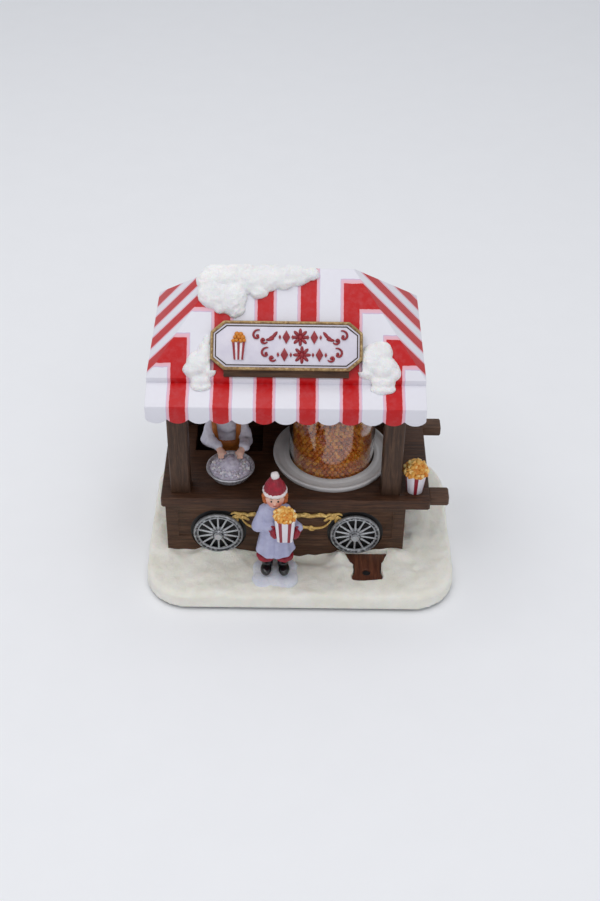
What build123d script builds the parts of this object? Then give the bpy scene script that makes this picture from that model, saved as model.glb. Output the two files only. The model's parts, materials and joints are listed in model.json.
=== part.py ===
from build123d import *
import os
from math import atan2, cos, hypot, sin

# A miniature popcorn cart for a winter village display, in millimetres.
# +Z is up, the serving side faces -Y, the shafts point to +X.
# The origin is on the table, under the centre of the snow base.

# Cart body and the snow around it
body_length = 101.0
body_depth = 57.0
body_wall = 2.0
snow_margin_left = 8.6
snow_margin_right = 21.4
snow_margin_front = 27.3
snow_margin_back = 7.7
base_corner_radius = 19.0
snow_height = 9.0
snow_edge_radius = 2.6
snow_skirt_gap = 0.6

# Underside
foot_height = 0.8
foot_radius = 3.5
foot_setback = 9.9
plate_thickness = 2.4
plate_setback = 1.4
flange_width = 3.0
flange_thickness = 1.4
flange_corner = 5.0
screw_radius = 1.3
screw_length = 6.0
screw_head_radius = 2.3
screw_head_height = 1.3
screw_setback = 13.0
boss_radius = 3.4
boss_height = 14.0

# Counter, posts and shafts
counter_height = 40.0
counter_thickness = 4.6
counter_nose = 2.2
counter_left_overhang = 1.5
counter_shelf = 9.9
post_size = 8.2
post_inset_x = 2.5
post_inset_y = 1.7
post_height = 54.6
tenon_size = 4.0
shaft_length = 8.2
shaft_width = 6.7
shaft_height = 4.6
shaft_drop = 0.9
shaft_tenon_length = 5.0
shaft_tenon_height = 2.2
back_wall_thickness = 2.0
back_wall_setback = 0.4
plank_groove = 0.5
plank_pitch = 8.0

# Roof
frame_thickness = 2.2
frame_rail = 15.0
eave_side_overhang = 4.2
eave_front_setback = 2.1
eave_back_overhang = 6.3
eave_setback_of_frame = 1.1
fascia_height = 2.3
roof_rise = 31.3
ridge_length = 52.4
ridge_width = 1.0
roof_wall_rise = 2.6

# Awning
awning_reach = 11.0
awning_drop = 3.6
awning_wall = 1.3
valance_height = 6.1
scallop_count = 13
scallop_drop = 2.1

# Sign, in the plane of the front slope
sign_length = 59.2
sign_height = 19.4
sign_corner_x = 5.2
sign_corner_y = 4.4
sign_from_eave = 3.0
sign_board_thickness = 2.4
sign_ledge_depth = 2.4
sign_ledge_thickness = 1.6
sign_frame_width = 1.2
sign_frame_thickness = 1.1
sign_face_thickness = 0.6
sign_ornament_thickness = 0.35

# Wheels
wheel_radius = 10.6
wheel_rim = 1.5
wheel_thickness = 1.5
wheel_standoff = 0.2
wheel_inset = 22.0
wheel_inset_right = 20.8
spoke_count = 14
spoke_width = 0.75
hub_radius = 2.6
hub_length = 2.9
wheel_pin_radius = 1.0
arch_margin = 1.3
arch_depth = 0.9
panel_margin_x = 5.0
panel_bottom = 17.0
panel_top = 31.8
panel_depth = 0.6

# Popper
dome_from_right = 31.0
dome_from_front = 27.0
dome_radius = 18.3
dome_height = 47.0
dome_wall = 1.0
dome_foot = 1.3
dome_foot_thickness = 1.2
dish_overlap = 6.9
dish_height = 3.0
housing_wall = 1.5
housing_depth = 14.5
screen_thickness = 1.0
screen_hole_radius = 0.7
screen_pitch = 3.2
screen_ledge = 1.2
popcorn_height = 35.0
motor_radius = 7.75
motor_length = 19.0
motor_boss_radius = 3.0
motor_shaft_radius = 1.0
sleeve_wall = 1.8
impeller_gap = 2.1
impeller_disc = 1.0
impeller_hub_radius = 3.4
blade_count = 10
blade_height = 6.4
blade_thickness = 0.8

# Batteries: three AA cells side by side
cell_count = 3
cell_length = 50.5
cell_radius = 7.25
cell_gap = 0.5
contact_room = 1.5
contact_half = 4.6
bay_side_gap = 0.4
box_wall = 1.5
door_thickness = 1.8
door_pin_radius = 0.6
door_pin_length = 1.1
switch_length = 9.0
switch_depth = 5.0
switch_height = 4.6
switch_travel = 2.0
knob_length = 2.6
knob_height = 1.8
knob_proud = 1.6
lead_radius = 0.6

# Vendor's well behind the counter
well_from_left = 11.0
well_length = 29.0
well_from_front = 29.9
well_depth = 21.6

# Clearances
fit = 0.1
press = 0.02
running = 0.05
door_gap = 0.25

# Places that everything else follows
base_length = body_length + snow_margin_left + snow_margin_right
base_depth = body_depth + snow_margin_front + snow_margin_back
cart_x = (snow_margin_left - snow_margin_right) / 2
cart_y = (snow_margin_front - snow_margin_back) / 2
body_left = cart_x - body_length / 2
body_right = cart_x + body_length / 2
body_front = cart_y - body_depth / 2
body_back = cart_y + body_depth / 2
plate_bottom = foot_height
plate_top = plate_bottom + plate_thickness
counter_bottom = counter_height - counter_thickness
counter_left = body_left - counter_left_overhang
counter_right = body_right + counter_shelf
counter_front = body_front - counter_nose
counter_back = body_back + counter_nose
post_xs = (body_left + post_inset_x + post_size / 2, body_right - post_inset_x - post_size / 2)
post_ys = (body_front + post_inset_y + post_size / 2, body_back - post_inset_y - post_size / 2)
frame_bottom = counter_height + post_height
fascia_bottom = frame_bottom + frame_thickness
eave_z = fascia_bottom + fascia_height
eave_left = body_left - eave_side_overhang
eave_right = body_right + eave_side_overhang
eave_front = body_front + eave_front_setback
eave_back = body_back + eave_back_overhang
eave_length = eave_right - eave_left
eave_depth = eave_back - eave_front
roof_y = (eave_front + eave_back) / 2
front_slope = atan2(roof_rise, eave_depth / 2 - ridge_width / 2)
awning_front = eave_front - awning_reach
valance_top = fascia_bottom - awning_drop
valance_cusp = valance_top - valance_height
wheel_z = snow_height + fit + wheel_radius
wheel_xs = (body_left + wheel_inset, body_right - wheel_inset_right)
dome_x = body_right - dome_from_right
dome_y = body_front + dome_from_front
housing_radius = dome_radius + dome_foot + 0.4
impeller_radius = housing_radius - housing_wall - impeller_gap
housing_floor = counter_height - housing_depth
motor_top = housing_floor
motor_bottom = motor_top - motor_length
bay_length = cell_length + 2 * contact_room
bay_width = cell_count * 2 * cell_radius + (cell_count - 1) * cell_gap + 2 * bay_side_gap
bay_x = body_left + body_wall + 0.8 + box_wall + bay_length / 2
bay_y = cart_y
cell_z = plate_top + 0.3 + cell_radius
box_top = cell_z + cell_radius + 0.5 + box_wall
well_left = body_left + well_from_left
well_front = body_front + well_from_front
vendor_x = well_left + well_length / 2 - 0.6
vendor_y = well_front + 7.0
switch_x = cart_x + 1.4
switch_z = 27.0

nodes = {}


def group(*solids):
    """Put separate solids in one node."""
    return Compound(children=list(solids))


def slab(x_low, x_high, y_low, y_high, z_low, z_high):
    """A box between two corners."""
    size = (x_high - x_low, y_high - y_low, z_high - z_low)
    centre = ((x_low + x_high) / 2, (y_low + y_high) / 2, (z_low + z_high) / 2)
    return Pos(*centre) * Box(*size)


def rod(x, y, z_low, z_high, radius):
    """An upright cylinder between two heights."""
    return Pos(x, y, (z_low + z_high) / 2) * Cylinder(radius, z_high - z_low)


def rounded_slab(length, depth, corner, z_low, z_high):
    """A rounded rectangular slab about the origin."""
    return Pos(0, 0, z_low) * extrude(RectangleRounded(length, depth, corner), z_high - z_low)


def turned(points, x, y):
    """A solid turned about the upright line at x, y from (radius, height) points."""
    face = make_face(Polyline(*[(r, 0, z) for r, z in points], close=True))
    return Pos(x, y, 0) * revolve(face, Axis.Z)


def egg(x, y, z, rx, ry, rz):
    """An ellipsoid."""
    return Pos(x, y, z) * scale(Sphere(1), (rx, ry, rz))


# ---------------------------------------------------------------- underside and snow

screw_places = [
    (-base_length / 2 + screw_setback, -base_depth / 2 + screw_setback),
    (dome_x - 9.0, -base_depth / 2 + screw_setback),
    (base_length / 2 - screw_setback, -base_depth / 2 + screw_setback),
    (base_length / 2 - screw_setback + 3.0, base_depth / 2 - screw_setback - 5.0),
]
boss_places = [
    (body_right - body_wall - boss_radius, body_front + body_wall + boss_radius),
    (body_right - body_wall - boss_radius, body_back - body_wall - boss_radius),
]


def rubber_feet():
    """Four thin pads under the corners."""
    feet = []
    for sx in (-1, 1):
        for sy in (-1, 1):
            x = sx * (base_length / 2 - foot_setback)
            y = sy * (base_depth / 2 - foot_setback)
            feet.append(rod(x, y, 0, foot_height, foot_radius))
    return group(*feet)


def door_edges():
    """Lowest and highest corner of the battery opening in the plate."""
    return (bay_x - bay_length / 2, bay_x + bay_length / 2, bay_y - bay_width / 2, bay_y + bay_width / 2)


def door_axis():
    """Y and Z of the battery door's hinge line."""
    y = door_edges()[3] - door_gap - door_thickness / 2
    z = plate_bottom + (plate_thickness - door_thickness) / 2 + door_thickness / 2
    return y, z


def base_plate():
    """Dark plate that closes the underside, with the battery opening and its screw holes."""
    plate = rounded_slab(base_length - 2 * plate_setback, base_depth - 2 * plate_setback,
                         base_corner_radius - plate_setback, plate_bottom, plate_top)
    x_low, x_high, y_low, y_high = door_edges()
    plate -= slab(x_low, x_high, y_low, y_high, plate_bottom, plate_top)
    hinge_y, hinge_z = door_axis()
    reach = bay_length + 2 * door_pin_length + 2 * fit
    plate -= Pos(bay_x, hinge_y, hinge_z) * Rot(0, 90, 0) * Cylinder(door_pin_radius + running, reach)
    finger = Pos(bay_x, y_low, plate_bottom) * Sphere(4.0)
    plate -= finger & slab(x_low, x_high, y_low - 4.0, y_low, plate_bottom, plate_bottom + 1.6)
    for x, y in screw_places + boss_places:
        plate -= rod(x, y, plate_bottom, plate_top, screw_radius + fit)
        plate -= rod(x, y, plate_bottom, plate_bottom + screw_head_height + fit, screw_head_radius + fit)
    return plate


def base_screws():
    """Cross-head screws: four into the snow base, two into the body."""
    screws = []
    for x, y in screw_places + boss_places:
        head_top = plate_bottom + screw_head_height
        screw = rod(x, y, plate_bottom, head_top, screw_head_radius)
        screw += rod(x, y, head_top, plate_bottom + screw_length, screw_radius)
        for turn in (0, 90):
            slot = Box(2.6, 0.6, 1.4)
            screw -= Pos(x, y, plate_bottom) * Rot(0, 0, turn) * slot
        screws.append(screw)
    return group(*screws)


plank_length_y = 17.0
plank_width = 13.0
plank_top = snow_height - 0.8
plank_bottom = plate_top + flange_thickness + fit
plank_x = wheel_xs[1] + 5.2
plank_y = body_front - plank_length_y / 2 - 0.4
peg_hole_radius = 1.7
peg_hole_depth = 2.8
peg_hole_x = plank_x - 0.2
peg_hole_y = plank_y - 2.6


def snow_base():
    """Snow slab with a rounded edge, an opening for the cart and a hollow for the plank."""
    bottom = plate_bottom + snow_skirt_gap
    snow = rounded_slab(base_length, base_depth, base_corner_radius, bottom, snow_height)
    snow = fillet(snow.faces().sort_by(Axis.Z)[-1].edges(), snow_edge_radius)
    snow -= rounded_slab(base_length - 2 * plate_setback + 2 * fit, base_depth - 2 * plate_setback + 2 * fit,
                         base_corner_radius - plate_setback + fit, bottom, plate_top)
    snow -= slab(body_left - fit, body_right + fit, body_front - fit, body_back + fit, bottom, snow_height)
    edge = flange_width + fit
    pocket = slab(body_left - edge, body_right + edge, body_front - edge, body_back + edge,
                  bottom, plate_top + flange_thickness + fit)
    snow -= fillet(pocket.edges().filter_by(Axis.Z), flange_corner)
    x_half = plank_width / 2 + fit
    y_half = plank_length_y / 2 + fit
    snow -= slab(plank_x - x_half, plank_x + x_half, plank_y - y_half, plank_y + y_half,
                 plank_bottom, snow_height)
    for x, y in screw_places:
        snow -= rod(x, y, bottom, plate_bottom + screw_length + fit, screw_radius + press)
    return snow


def path_plank():
    """Short plank laid in the snow, with a blind peg hole for a display accessory."""
    plank = slab(plank_x - plank_width / 2, plank_x + plank_width / 2,
                 plank_y - plank_length_y / 2, plank_y + plank_length_y / 2,
                 plank_bottom, plank_top)
    plank = chamfer(plank.faces().sort_by(Axis.Z)[-1].edges(), 0.4)
    return plank - rod(peg_hole_x, peg_hole_y, plank_top - peg_hole_depth, plank_top, peg_hole_radius)


nodes["rubber_feet"] = rubber_feet()
nodes["base_plate"] = base_plate()
nodes["base_screws"] = base_screws()
nodes["snow_base"] = snow_base()
nodes["path_plank"] = path_plank()


# ---------------------------------------------------------------- cart body and wheels

def wagon_body():
    """Four-sided body, open above and below, with wheel arches, panels and a clamped flange."""
    body = slab(body_left, body_right, body_front, body_back, plate_top, counter_bottom)
    edge = flange_width
    flange = slab(body_left - edge, body_right + edge, body_front - edge, body_back + edge,
                  plate_top, plate_top + flange_thickness)
    body += fillet(flange.edges().filter_by(Axis.Z), flange_corner)
    inside = slab(body_left + body_wall, body_right - body_wall, body_front + body_wall,
                  body_back - body_wall, plate_top, counter_bottom)
    body -= inside
    for y, outward in ((body_front, -1), (body_back, 1)):
        inner = y - outward * panel_depth
        body -= slab(body_left + panel_margin_x, body_right - panel_margin_x,
                     min(y, inner), max(y, inner), panel_bottom, panel_top)
        for x in wheel_xs:
            arch = Cylinder(wheel_radius + arch_margin, 2 * arch_depth)
            body -= Pos(x, y, wheel_z) * Rot(90, 0, 0) * arch
            pin_hole = Cylinder(wheel_pin_radius + press, 2 * body_wall + 0.2)
            body -= Pos(x, y, wheel_z) * Rot(90, 0, 0) * pin_hole
    for x, outward in ((body_left, -1), (body_right, 1)):
        inner = x - outward * panel_depth
        body -= slab(min(x, inner), max(x, inner), body_front + panel_margin_x,
                     body_back - panel_margin_x, panel_bottom, panel_top)
    for x, y in boss_places:
        boss = rod(x, y, plate_top, plate_top + boss_height, boss_radius)
        boss -= rod(x, y, plate_top, plate_bottom + screw_length + 1.0, screw_radius + press)
        corner = slab(x, body_right - body_wall, y - boss_radius, y + boss_radius,
                      plate_top, plate_top + boss_height)
        corner -= rod(x, y, plate_top, plate_top + boss_height, boss_radius)
        body += boss + corner
    slot_half = (knob_length + switch_travel) / 2 + 0.3
    middle = switch_x + switch_travel / 2
    body -= slab(middle - slot_half, middle + slot_half, body_back - body_wall, body_back,
                 switch_z - knob_height / 2 - 0.2, switch_z + knob_height / 2 + 0.2)
    return body


def wheel(x, side):
    """Spoked wheel standing against the body; side is -1 at the front and 1 at the back."""
    depth = wheel_thickness
    disc = Cylinder(wheel_radius, depth) - Cylinder(wheel_radius - wheel_rim, depth)
    for index in range(spoke_count):
        reach = wheel_radius - wheel_rim / 2
        spoke = Pos(reach / 2, 0, 0) * Box(reach, spoke_width, depth * 0.5)
        disc += Rot(0, 0, index * 360 / spoke_count) * spoke
    disc += Pos(0, 0, (hub_length - depth) / 2) * Cylinder(hub_radius, hub_length)
    disc -= Cylinder(wheel_pin_radius + press, 3 * hub_length)
    face = body_front - wheel_standoff - depth / 2
    if side > 0:
        face = body_back + wheel_standoff + depth / 2
    return Pos(x, face, wheel_z) * Rot(-90 * side, 0, 0) * disc


def wheel_pins():
    """Stub axles with domed heads, pressed through the hubs into the body."""
    pins = []
    for y, outward in ((body_front, -1), (body_back, 1)):
        for x in wheel_xs:
            reach = hub_length + wheel_standoff + body_wall - 0.2
            centre = y + outward * (reach / 2 - body_wall + 0.2)
            pin = Pos(x, centre, wheel_z) * Rot(90, 0, 0) * Cylinder(wheel_pin_radius, reach)
            cap_y = y + outward * (hub_length + wheel_standoff)
            cap = Pos(x, cap_y + outward * 0.3, wheel_z) * Rot(90, 0, 0) * Cylinder(1.5, 0.6)
            pins.append(pin + cap)
    return group(*pins)


def scroll_ornament():
    """Gilt scrollwork on the front panel, between and above the wheels."""
    thickness = panel_depth + wheel_standoff / 2
    top = panel_top - 2.2
    left = wheel_xs[0] + 5.6
    right = wheel_xs[1] - 5.8
    middle = (left + right) / 2
    flat = Pos(middle, top) * Rectangle(right - left, 1.2)
    curls = [(left + 2.2, top - 1.4, 2.2), (right - 2.2, top - 1.4, 2.2), (left + 8.0, top - 2.2, 2.6),
             (right - 8.0, top - 2.2, 2.6), (middle - 5.0, top - 3.4, 3.6), (middle + 5.0, top - 3.4, 3.6),
             (middle, top - 8.2, 3.0)]
    for x, z, radius in curls:
        flat += Pos(x, z) * (Circle(radius) - Circle(radius - 1.0))
    flat += Pos(middle, top - 5.2) * Rectangle(1.4, 9.0)
    solid = extrude(flat, thickness)
    return Pos(0, body_front + panel_depth, 0) * Rot(90, 0, 0) * solid


nodes["wagon_body"] = wagon_body()
for side_name, side in (("front", -1), ("rear", 1)):
    for end_name, wheel_x in zip(("left", "right"), wheel_xs):
        nodes[f"wheel_{side_name}_{end_name}"] = wheel(wheel_x, side)
nodes["wheel_pins"] = wheel_pins()
nodes["scroll_ornament"] = scroll_ornament()


# ---------------------------------------------------------------- counter, posts, shafts

shaft_ys = (post_ys[0] - post_size / 2 + shaft_width / 2, post_ys[1] + post_size / 2 - shaft_width / 2)
shaft_z = counter_height - shaft_drop - shaft_height / 2
tenon_z = counter_bottom + counter_thickness / 2 - 0.2


def counter_top():
    """Counter board with the vendor's well, the popper opening and the mortises."""
    board = slab(counter_left, counter_right, counter_front, counter_back, counter_bottom, counter_height)
    board = chamfer(board.edges().filter_by(Axis.Z), 0.8)
    board = chamfer(board.faces().sort_by(Axis.Z)[-1].edges(), 0.4)
    board -= slab(well_left, well_left + well_length, well_front, well_front + well_depth,
                  counter_bottom, counter_height)
    board -= rod(dome_x, dome_y, counter_bottom, counter_height, housing_radius + fit)
    for x in post_xs:
        for y in post_ys:
            size = tenon_size + 2 * press
            board -= Pos(x, y, counter_bottom + counter_thickness / 2) * Box(size, size, counter_thickness)
    for y in shaft_ys:
        length = shaft_tenon_length + fit
        mortise = Box(length, shaft_width - 2.0 + 2 * press, shaft_tenon_height + 2 * press)
        board -= Pos(counter_right - length / 2, y, tenon_z) * mortise
    return board


def post(x, y):
    """Square post with a tenon at each end."""
    stick = Pos(x, y, counter_height + post_height / 2) * Box(post_size, post_size, post_height)
    stick = chamfer(stick.edges().filter_by(Axis.Z), 0.5)
    low = counter_bottom
    high = fascia_bottom
    stick += Pos(x, y, (low + high) / 2) * Box(tenon_size, tenon_size, high - low)
    return stick


def shaft(y):
    """Stub of a draw shaft, tenoned into the end of the counter."""
    bar = slab(counter_right, counter_right + shaft_length, y - shaft_width / 2, y + shaft_width / 2,
               shaft_z - shaft_height / 2, shaft_z + shaft_height / 2)
    bar = chamfer(bar.faces().sort_by(Axis.X)[-1].edges(), 0.5)
    tenon = Box(shaft_tenon_length, shaft_width - 2.0, shaft_tenon_height)
    return bar + Pos(counter_right - shaft_tenon_length / 2, y, tenon_z) * tenon


def back_wall():
    """Upright boards between the rear posts."""
    low = post_xs[0] + post_size / 2 + fit
    high = post_xs[1] - post_size / 2 - fit
    half = back_wall_thickness / 2
    y = post_ys[1] + post_size / 2 - back_wall_setback - half
    wall = slab(low, high, y - half, y + half, counter_height, frame_bottom)
    count = int((high - low) / plank_pitch)
    for index in range(1, count + 1):
        x = low + index * (high - low) / (count + 1)
        for face in (y - half, y + half):
            groove = Pos(x, face, (counter_height + frame_bottom) / 2) * Rot(0, 0, 45)
            wall -= groove * Box(plank_groove, plank_groove, post_height)
    return wall


nodes["counter_top"] = counter_top()
for row_name, post_y in zip(("front", "rear"), post_ys):
    for end_name, post_x in zip(("left", "right"), post_xs):
        nodes[f"post_{row_name}_{end_name}"] = post(post_x, post_y)
nodes["shaft_front"] = shaft(shaft_ys[0])
nodes["shaft_rear"] = shaft(shaft_ys[1])
nodes["back_wall"] = back_wall()


# ---------------------------------------------------------------- roof, awning, snow, sign

def roof_frame():
    """Flat frame on the posts that carries the roof and the awning."""
    inset = eave_setback_of_frame
    x_low = eave_left + roof_wall_rise + inset
    x_high = eave_right - roof_wall_rise - inset
    y_low = eave_front + inset
    y_high = eave_back - inset
    frame = slab(x_low, x_high, y_low, y_high, frame_bottom, fascia_bottom)
    hole = slab(x_low + frame_rail, x_high - frame_rail, y_low + frame_rail, y_high - frame_rail,
                frame_bottom, fascia_bottom)
    frame -= hole
    for x in post_xs:
        for y in post_ys:
            size = tenon_size + 2 * press
            frame -= Pos(x, y, frame_bottom + frame_thickness / 2) * Box(size, size, frame_thickness)
    return frame


def hip(length, depth, ridge, width, z_low, rise):
    """Hipped block: a rectangle below, a narrow ridge above."""
    low = Pos(cart_x, roof_y, z_low) * Rectangle(length, depth)
    high = Pos(cart_x, roof_y, z_low + rise) * Rectangle(ridge, width)
    return loft([low, high], ruled=True)


def roof_outside():
    """The full outer shape of the roof, without its hollow."""
    block = slab(eave_left, eave_right, eave_front, eave_back, fascia_bottom, eave_z)
    return block + hip(eave_length, eave_depth, ridge_length, ridge_width, eave_z, roof_rise)


def roof_shell():
    """Hollow hipped roof with a small upright fascia."""
    side_step = roof_wall_rise * (eave_length - ridge_length) / 2 / roof_rise
    front_step = roof_wall_rise * (eave_depth - ridge_width) / 2 / roof_rise
    length = eave_length - 2 * side_step
    depth = eave_depth - 2 * front_step
    hollow = Pos(cart_x, roof_y, (fascia_bottom + eave_z) / 2) * Box(length, depth, fascia_height)
    hollow += hip(length, depth, ridge_length, ridge_width / 2, eave_z, roof_rise - roof_wall_rise)
    return roof_outside() - hollow


def awning():
    """Striped front awning: shallow slope, end cheeks and a scalloped valance."""
    back = eave_front + eave_setback_of_frame
    root = fascia_bottom
    wall = awning_wall
    section = [(back, root), (eave_front, root), (awning_front, valance_top), (awning_front, valance_cusp),
               (awning_front + wall, valance_cusp), (awning_front + wall, valance_top - wall * 0.8),
               (eave_front, root - wall), (back, root - wall)]
    profile = make_face(Polyline(*[(0, y, z) for y, z in section], close=True))
    body = Pos(eave_left, 0, 0) * extrude(profile, eave_length, dir=(1, 0, 0))
    cheek_points = [(eave_front, root), (awning_front, valance_top), (awning_front, valance_cusp),
                    (eave_front, frame_bottom)]
    cheek = extrude(make_face(Polyline(*[(0, y, z) for y, z in cheek_points], close=True)), wall,
                    dir=(1, 0, 0))
    body += Pos(eave_left, 0, 0) * cheek
    body += Pos(eave_right - wall, 0, 0) * cheek
    width = eave_length / scallop_count
    radius = (width ** 2 / 4 + scallop_drop ** 2) / (2 * scallop_drop)
    for index in range(scallop_count):
        x = eave_left + (index + 0.5) * width
        disc = Pos(x, 0, valance_cusp - scallop_drop + radius) * Rot(90, 0, 0) * Cylinder(radius, 2 * wall)
        tip = slab(x - width / 2, x + width / 2, 0, wall, valance_cusp - scallop_drop, valance_cusp)
        body += Pos(0, awning_front, 0) * (disc & tip)
    return body


def slope_plane(along, lift):
    """Plane lying on the front slope, a distance up it from the eave and a lift off it."""
    normal = (0, -sin(front_slope), cos(front_slope))
    y = eave_front + along * cos(front_slope) + lift * normal[1]
    z = eave_z + along * sin(front_slope) + lift * normal[2]
    return Plane(origin=(cart_x, y, z), x_dir=(1, 0, 0), z_dir=normal)


def octagon(length, height, cut_x, cut_y):
    """Rectangle with its four corners cut off, as a flat face."""
    x = length / 2
    y = height / 2
    points = [(-x + cut_x, -y), (x - cut_x, -y), (x, -y + cut_y), (x, y - cut_y),
              (x - cut_x, y), (-x + cut_x, y), (-x, y - cut_y), (-x, -y + cut_y)]
    return make_face(Polyline(*points, close=True))


sign_middle = sign_from_eave + sign_height / 2
sign_inner = (sign_length - 2 * sign_frame_width, sign_height - 2 * sign_frame_width,
              sign_corner_x - sign_frame_width / 2, sign_corner_y - sign_frame_width / 2)


def sign_board():
    """Backing board that stands on the front slope, with a ledge along its foot."""
    plane = slope_plane(sign_middle, 0)
    board = extrude(octagon(sign_length, sign_height, sign_corner_x, sign_corner_y), sign_board_thickness)
    half = sign_length / 2 - sign_corner_x
    foot = -sign_height / 2
    board += slab(-half, half, foot - sign_ledge_depth, foot + sign_ledge_depth, 0, sign_ledge_thickness)
    return plane * board


def sign_frame():
    """Raised gilt moulding round the edge of the sign."""
    plane = slope_plane(sign_middle, sign_board_thickness)
    outline = octagon(sign_length, sign_height, sign_corner_x, sign_corner_y)
    return plane * extrude(outline - octagon(*sign_inner), sign_frame_thickness)


def sign_face():
    """Pale panel inside the moulding."""
    plane = slope_plane(sign_middle, sign_board_thickness)
    length, height, cut_x, cut_y = sign_inner
    gap = 2 * press
    return plane * extrude(octagon(length - gap, height - gap, cut_x, cut_y), sign_face_thickness)


def sign_ornament():
    """Relief on the sign: a popcorn carton at the left and a scroll with lozenges beside it."""
    plane = slope_plane(sign_middle, sign_board_thickness + sign_face_thickness)
    carton_x = -sign_length / 2 + 11.0
    carton = make_face(Polyline((carton_x - 2.0, -5.4), (carton_x + 2.0, -5.4), (carton_x + 2.9, 0.6),
                                (carton_x - 2.9, 0.6), close=True))
    flats = [carton]
    crown = Pos(carton_x, 3.0) * Circle(2.3)
    flats.append(crown)
    for x, size in ((-4.0, 1.5), (5.5, 2.2), (15.0, 1.5)):
        flats.append(Pos(x, 0) * Rot(0, 0, 45) * Rectangle(size * 1.6, size * 1.6))
    for x in (0.8, 10.2):
        flats.append(Pos(x, 0) * (Circle(2.1) - Circle(1.3)))
    return plane * group(*[extrude(flat, sign_ornament_thickness) for flat in flats])


def roof_snow(lumps):
    """Heaped snow resting on the roof; each lump is a place up the slope and a size."""
    heap = None
    for x, along, rx, ry, rz in lumps:
        plane = slope_plane(along, 0)
        lump = plane * (Pos(x - cart_x, 0, 0) * scale(Sphere(1), (rx, ry, rz)))
        heap = lump if heap is None else heap + lump
    return heap - roof_outside() - slope_plane(sign_middle, 0) * extrude(
        octagon(sign_length + 0.4, sign_height + 0.4, sign_corner_x, sign_corner_y),
        sign_board_thickness + sign_frame_thickness + 0.2)


slope_length = hypot(roof_rise, eave_depth / 2)
ridge_left = cart_x - ridge_length / 2

nodes["roof_frame"] = roof_frame()
nodes["roof_shell"] = roof_shell()
nodes["awning"] = awning()
nodes["sign_board"] = sign_board()
nodes["sign_frame"] = sign_frame()
nodes["sign_face"] = sign_face()
nodes["sign_ornament"] = sign_ornament()
nodes["roof_snow_ridge"] = roof_snow([
    (ridge_left + 1.5, slope_length - 7.2, 10.5, 9.6, 3.4),
    (ridge_left + 14.0, slope_length - 4.0, 11.0, 6.2, 3.2),
    (ridge_left + 27.0, slope_length - 3.2, 11.0, 5.4, 2.8),
])
nodes["roof_snow_left"] = roof_snow([
    (eave_left + 22.5, 5.6, 6.6, 5.6, 3.6),
    (eave_left + 19.5, 2.8, 5.8, 3.0, 2.4),
])
nodes["roof_snow_right"] = roof_snow([
    (eave_right - 20.0, 8.2, 7.4, 8.0, 3.8),
    (eave_right - 17.0, 3.2, 7.4, 3.4, 2.6),
])


# ---------------------------------------------------------------- popper

def popper_dome():
    """Clear moulded dome with a small foot ring."""
    foot_top = counter_height + dome_foot_thickness
    top = counter_height + dome_height
    outer_low = dome_radius - 0.6
    wall = dome_wall
    outside = Spline((outer_low, 0, foot_top), (dome_radius, 0, counter_height + 0.4 * dome_height),
                     (0.72 * dome_radius, 0, top - 0.12 * dome_height), (0, 0, top),
                     tangents=[(0, 0, 1), (-1, 0, 0)])
    inside = Spline((outer_low - wall, 0, counter_height),
                    (dome_radius - wall, 0, counter_height + 0.4 * dome_height),
                    (0.72 * dome_radius - wall, 0, top - 0.12 * dome_height - 0.6 * wall),
                    (0, 0, top - wall), tangents=[(0, 0, 1), (-1, 0, 0)])
    foot = Polyline((outer_low - wall, 0, counter_height), (dome_radius + dome_foot, 0, counter_height),
                    (dome_radius + dome_foot, 0, foot_top), (outer_low, 0, foot_top))
    tip = Line((0, 0, top), (0, 0, top - wall))
    face = make_face(Wire([outside.edge(), tip.edge(), inside.edge(), *foot.edges()]))
    return Pos(dome_x, dome_y, 0) * revolve(face, Axis.Z)


def popcorn_fill():
    """Loose popcorn inside the dome, as one heap."""
    low = counter_height
    high = counter_height + popcorn_height
    radius = dome_radius - dome_wall - 0.4
    points = [(0, low), (radius - 0.6, low), (radius, low + 0.4 * popcorn_height),
              (radius - 0.6, low + 0.7 * popcorn_height), (radius - 4.0, high - 1.5), (0, high)]
    return turned(points, dome_x, dome_y)


def dome_dish():
    """Pale ring dish that holds the dome's foot down."""
    low = counter_height
    foot = dome_radius + dome_foot + fit
    inner = dome_radius - 0.1
    outer = dome_radius + dish_overlap
    lip_low = low + dome_foot_thickness + 0.1
    points = [(foot, low), (outer - 1.0, low), (outer, low + 2.3), (outer, low + dish_height),
              (outer - 0.9, low + dish_height), (outer - 2.4, low + 2.0), (foot + 0.9, low + 2.0),
              (foot, low + 2.6), (inner, low + 2.6), (inner, lip_low), (foot, lip_low)]
    return turned(points, dome_x, dome_y)


def blower_housing():
    """Round cup under the counter, open above, with air inlets in its floor."""
    outer = housing_radius
    inner = outer - housing_wall
    top = counter_height
    ledge_top = top - screen_thickness
    points = [(motor_boss_radius + fit, housing_floor), (outer, housing_floor), (outer, top), (inner, top),
              (inner, ledge_top), (inner - screen_ledge, ledge_top),
              (inner - screen_ledge, ledge_top - 1.0), (inner, ledge_top - 1.0),
              (inner, housing_floor + housing_wall), (motor_boss_radius + fit, housing_floor + housing_wall)]
    cup = turned(points, dome_x, dome_y)
    for index in range(8):
        inlet = Pos(14.0, 0, 0) * Box(5.0, 2.4, 4 * housing_wall)
        cup -= Pos(dome_x, dome_y, housing_floor) * Rot(0, 0, index * 45 + 22.5) * inlet
    return cup


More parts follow.
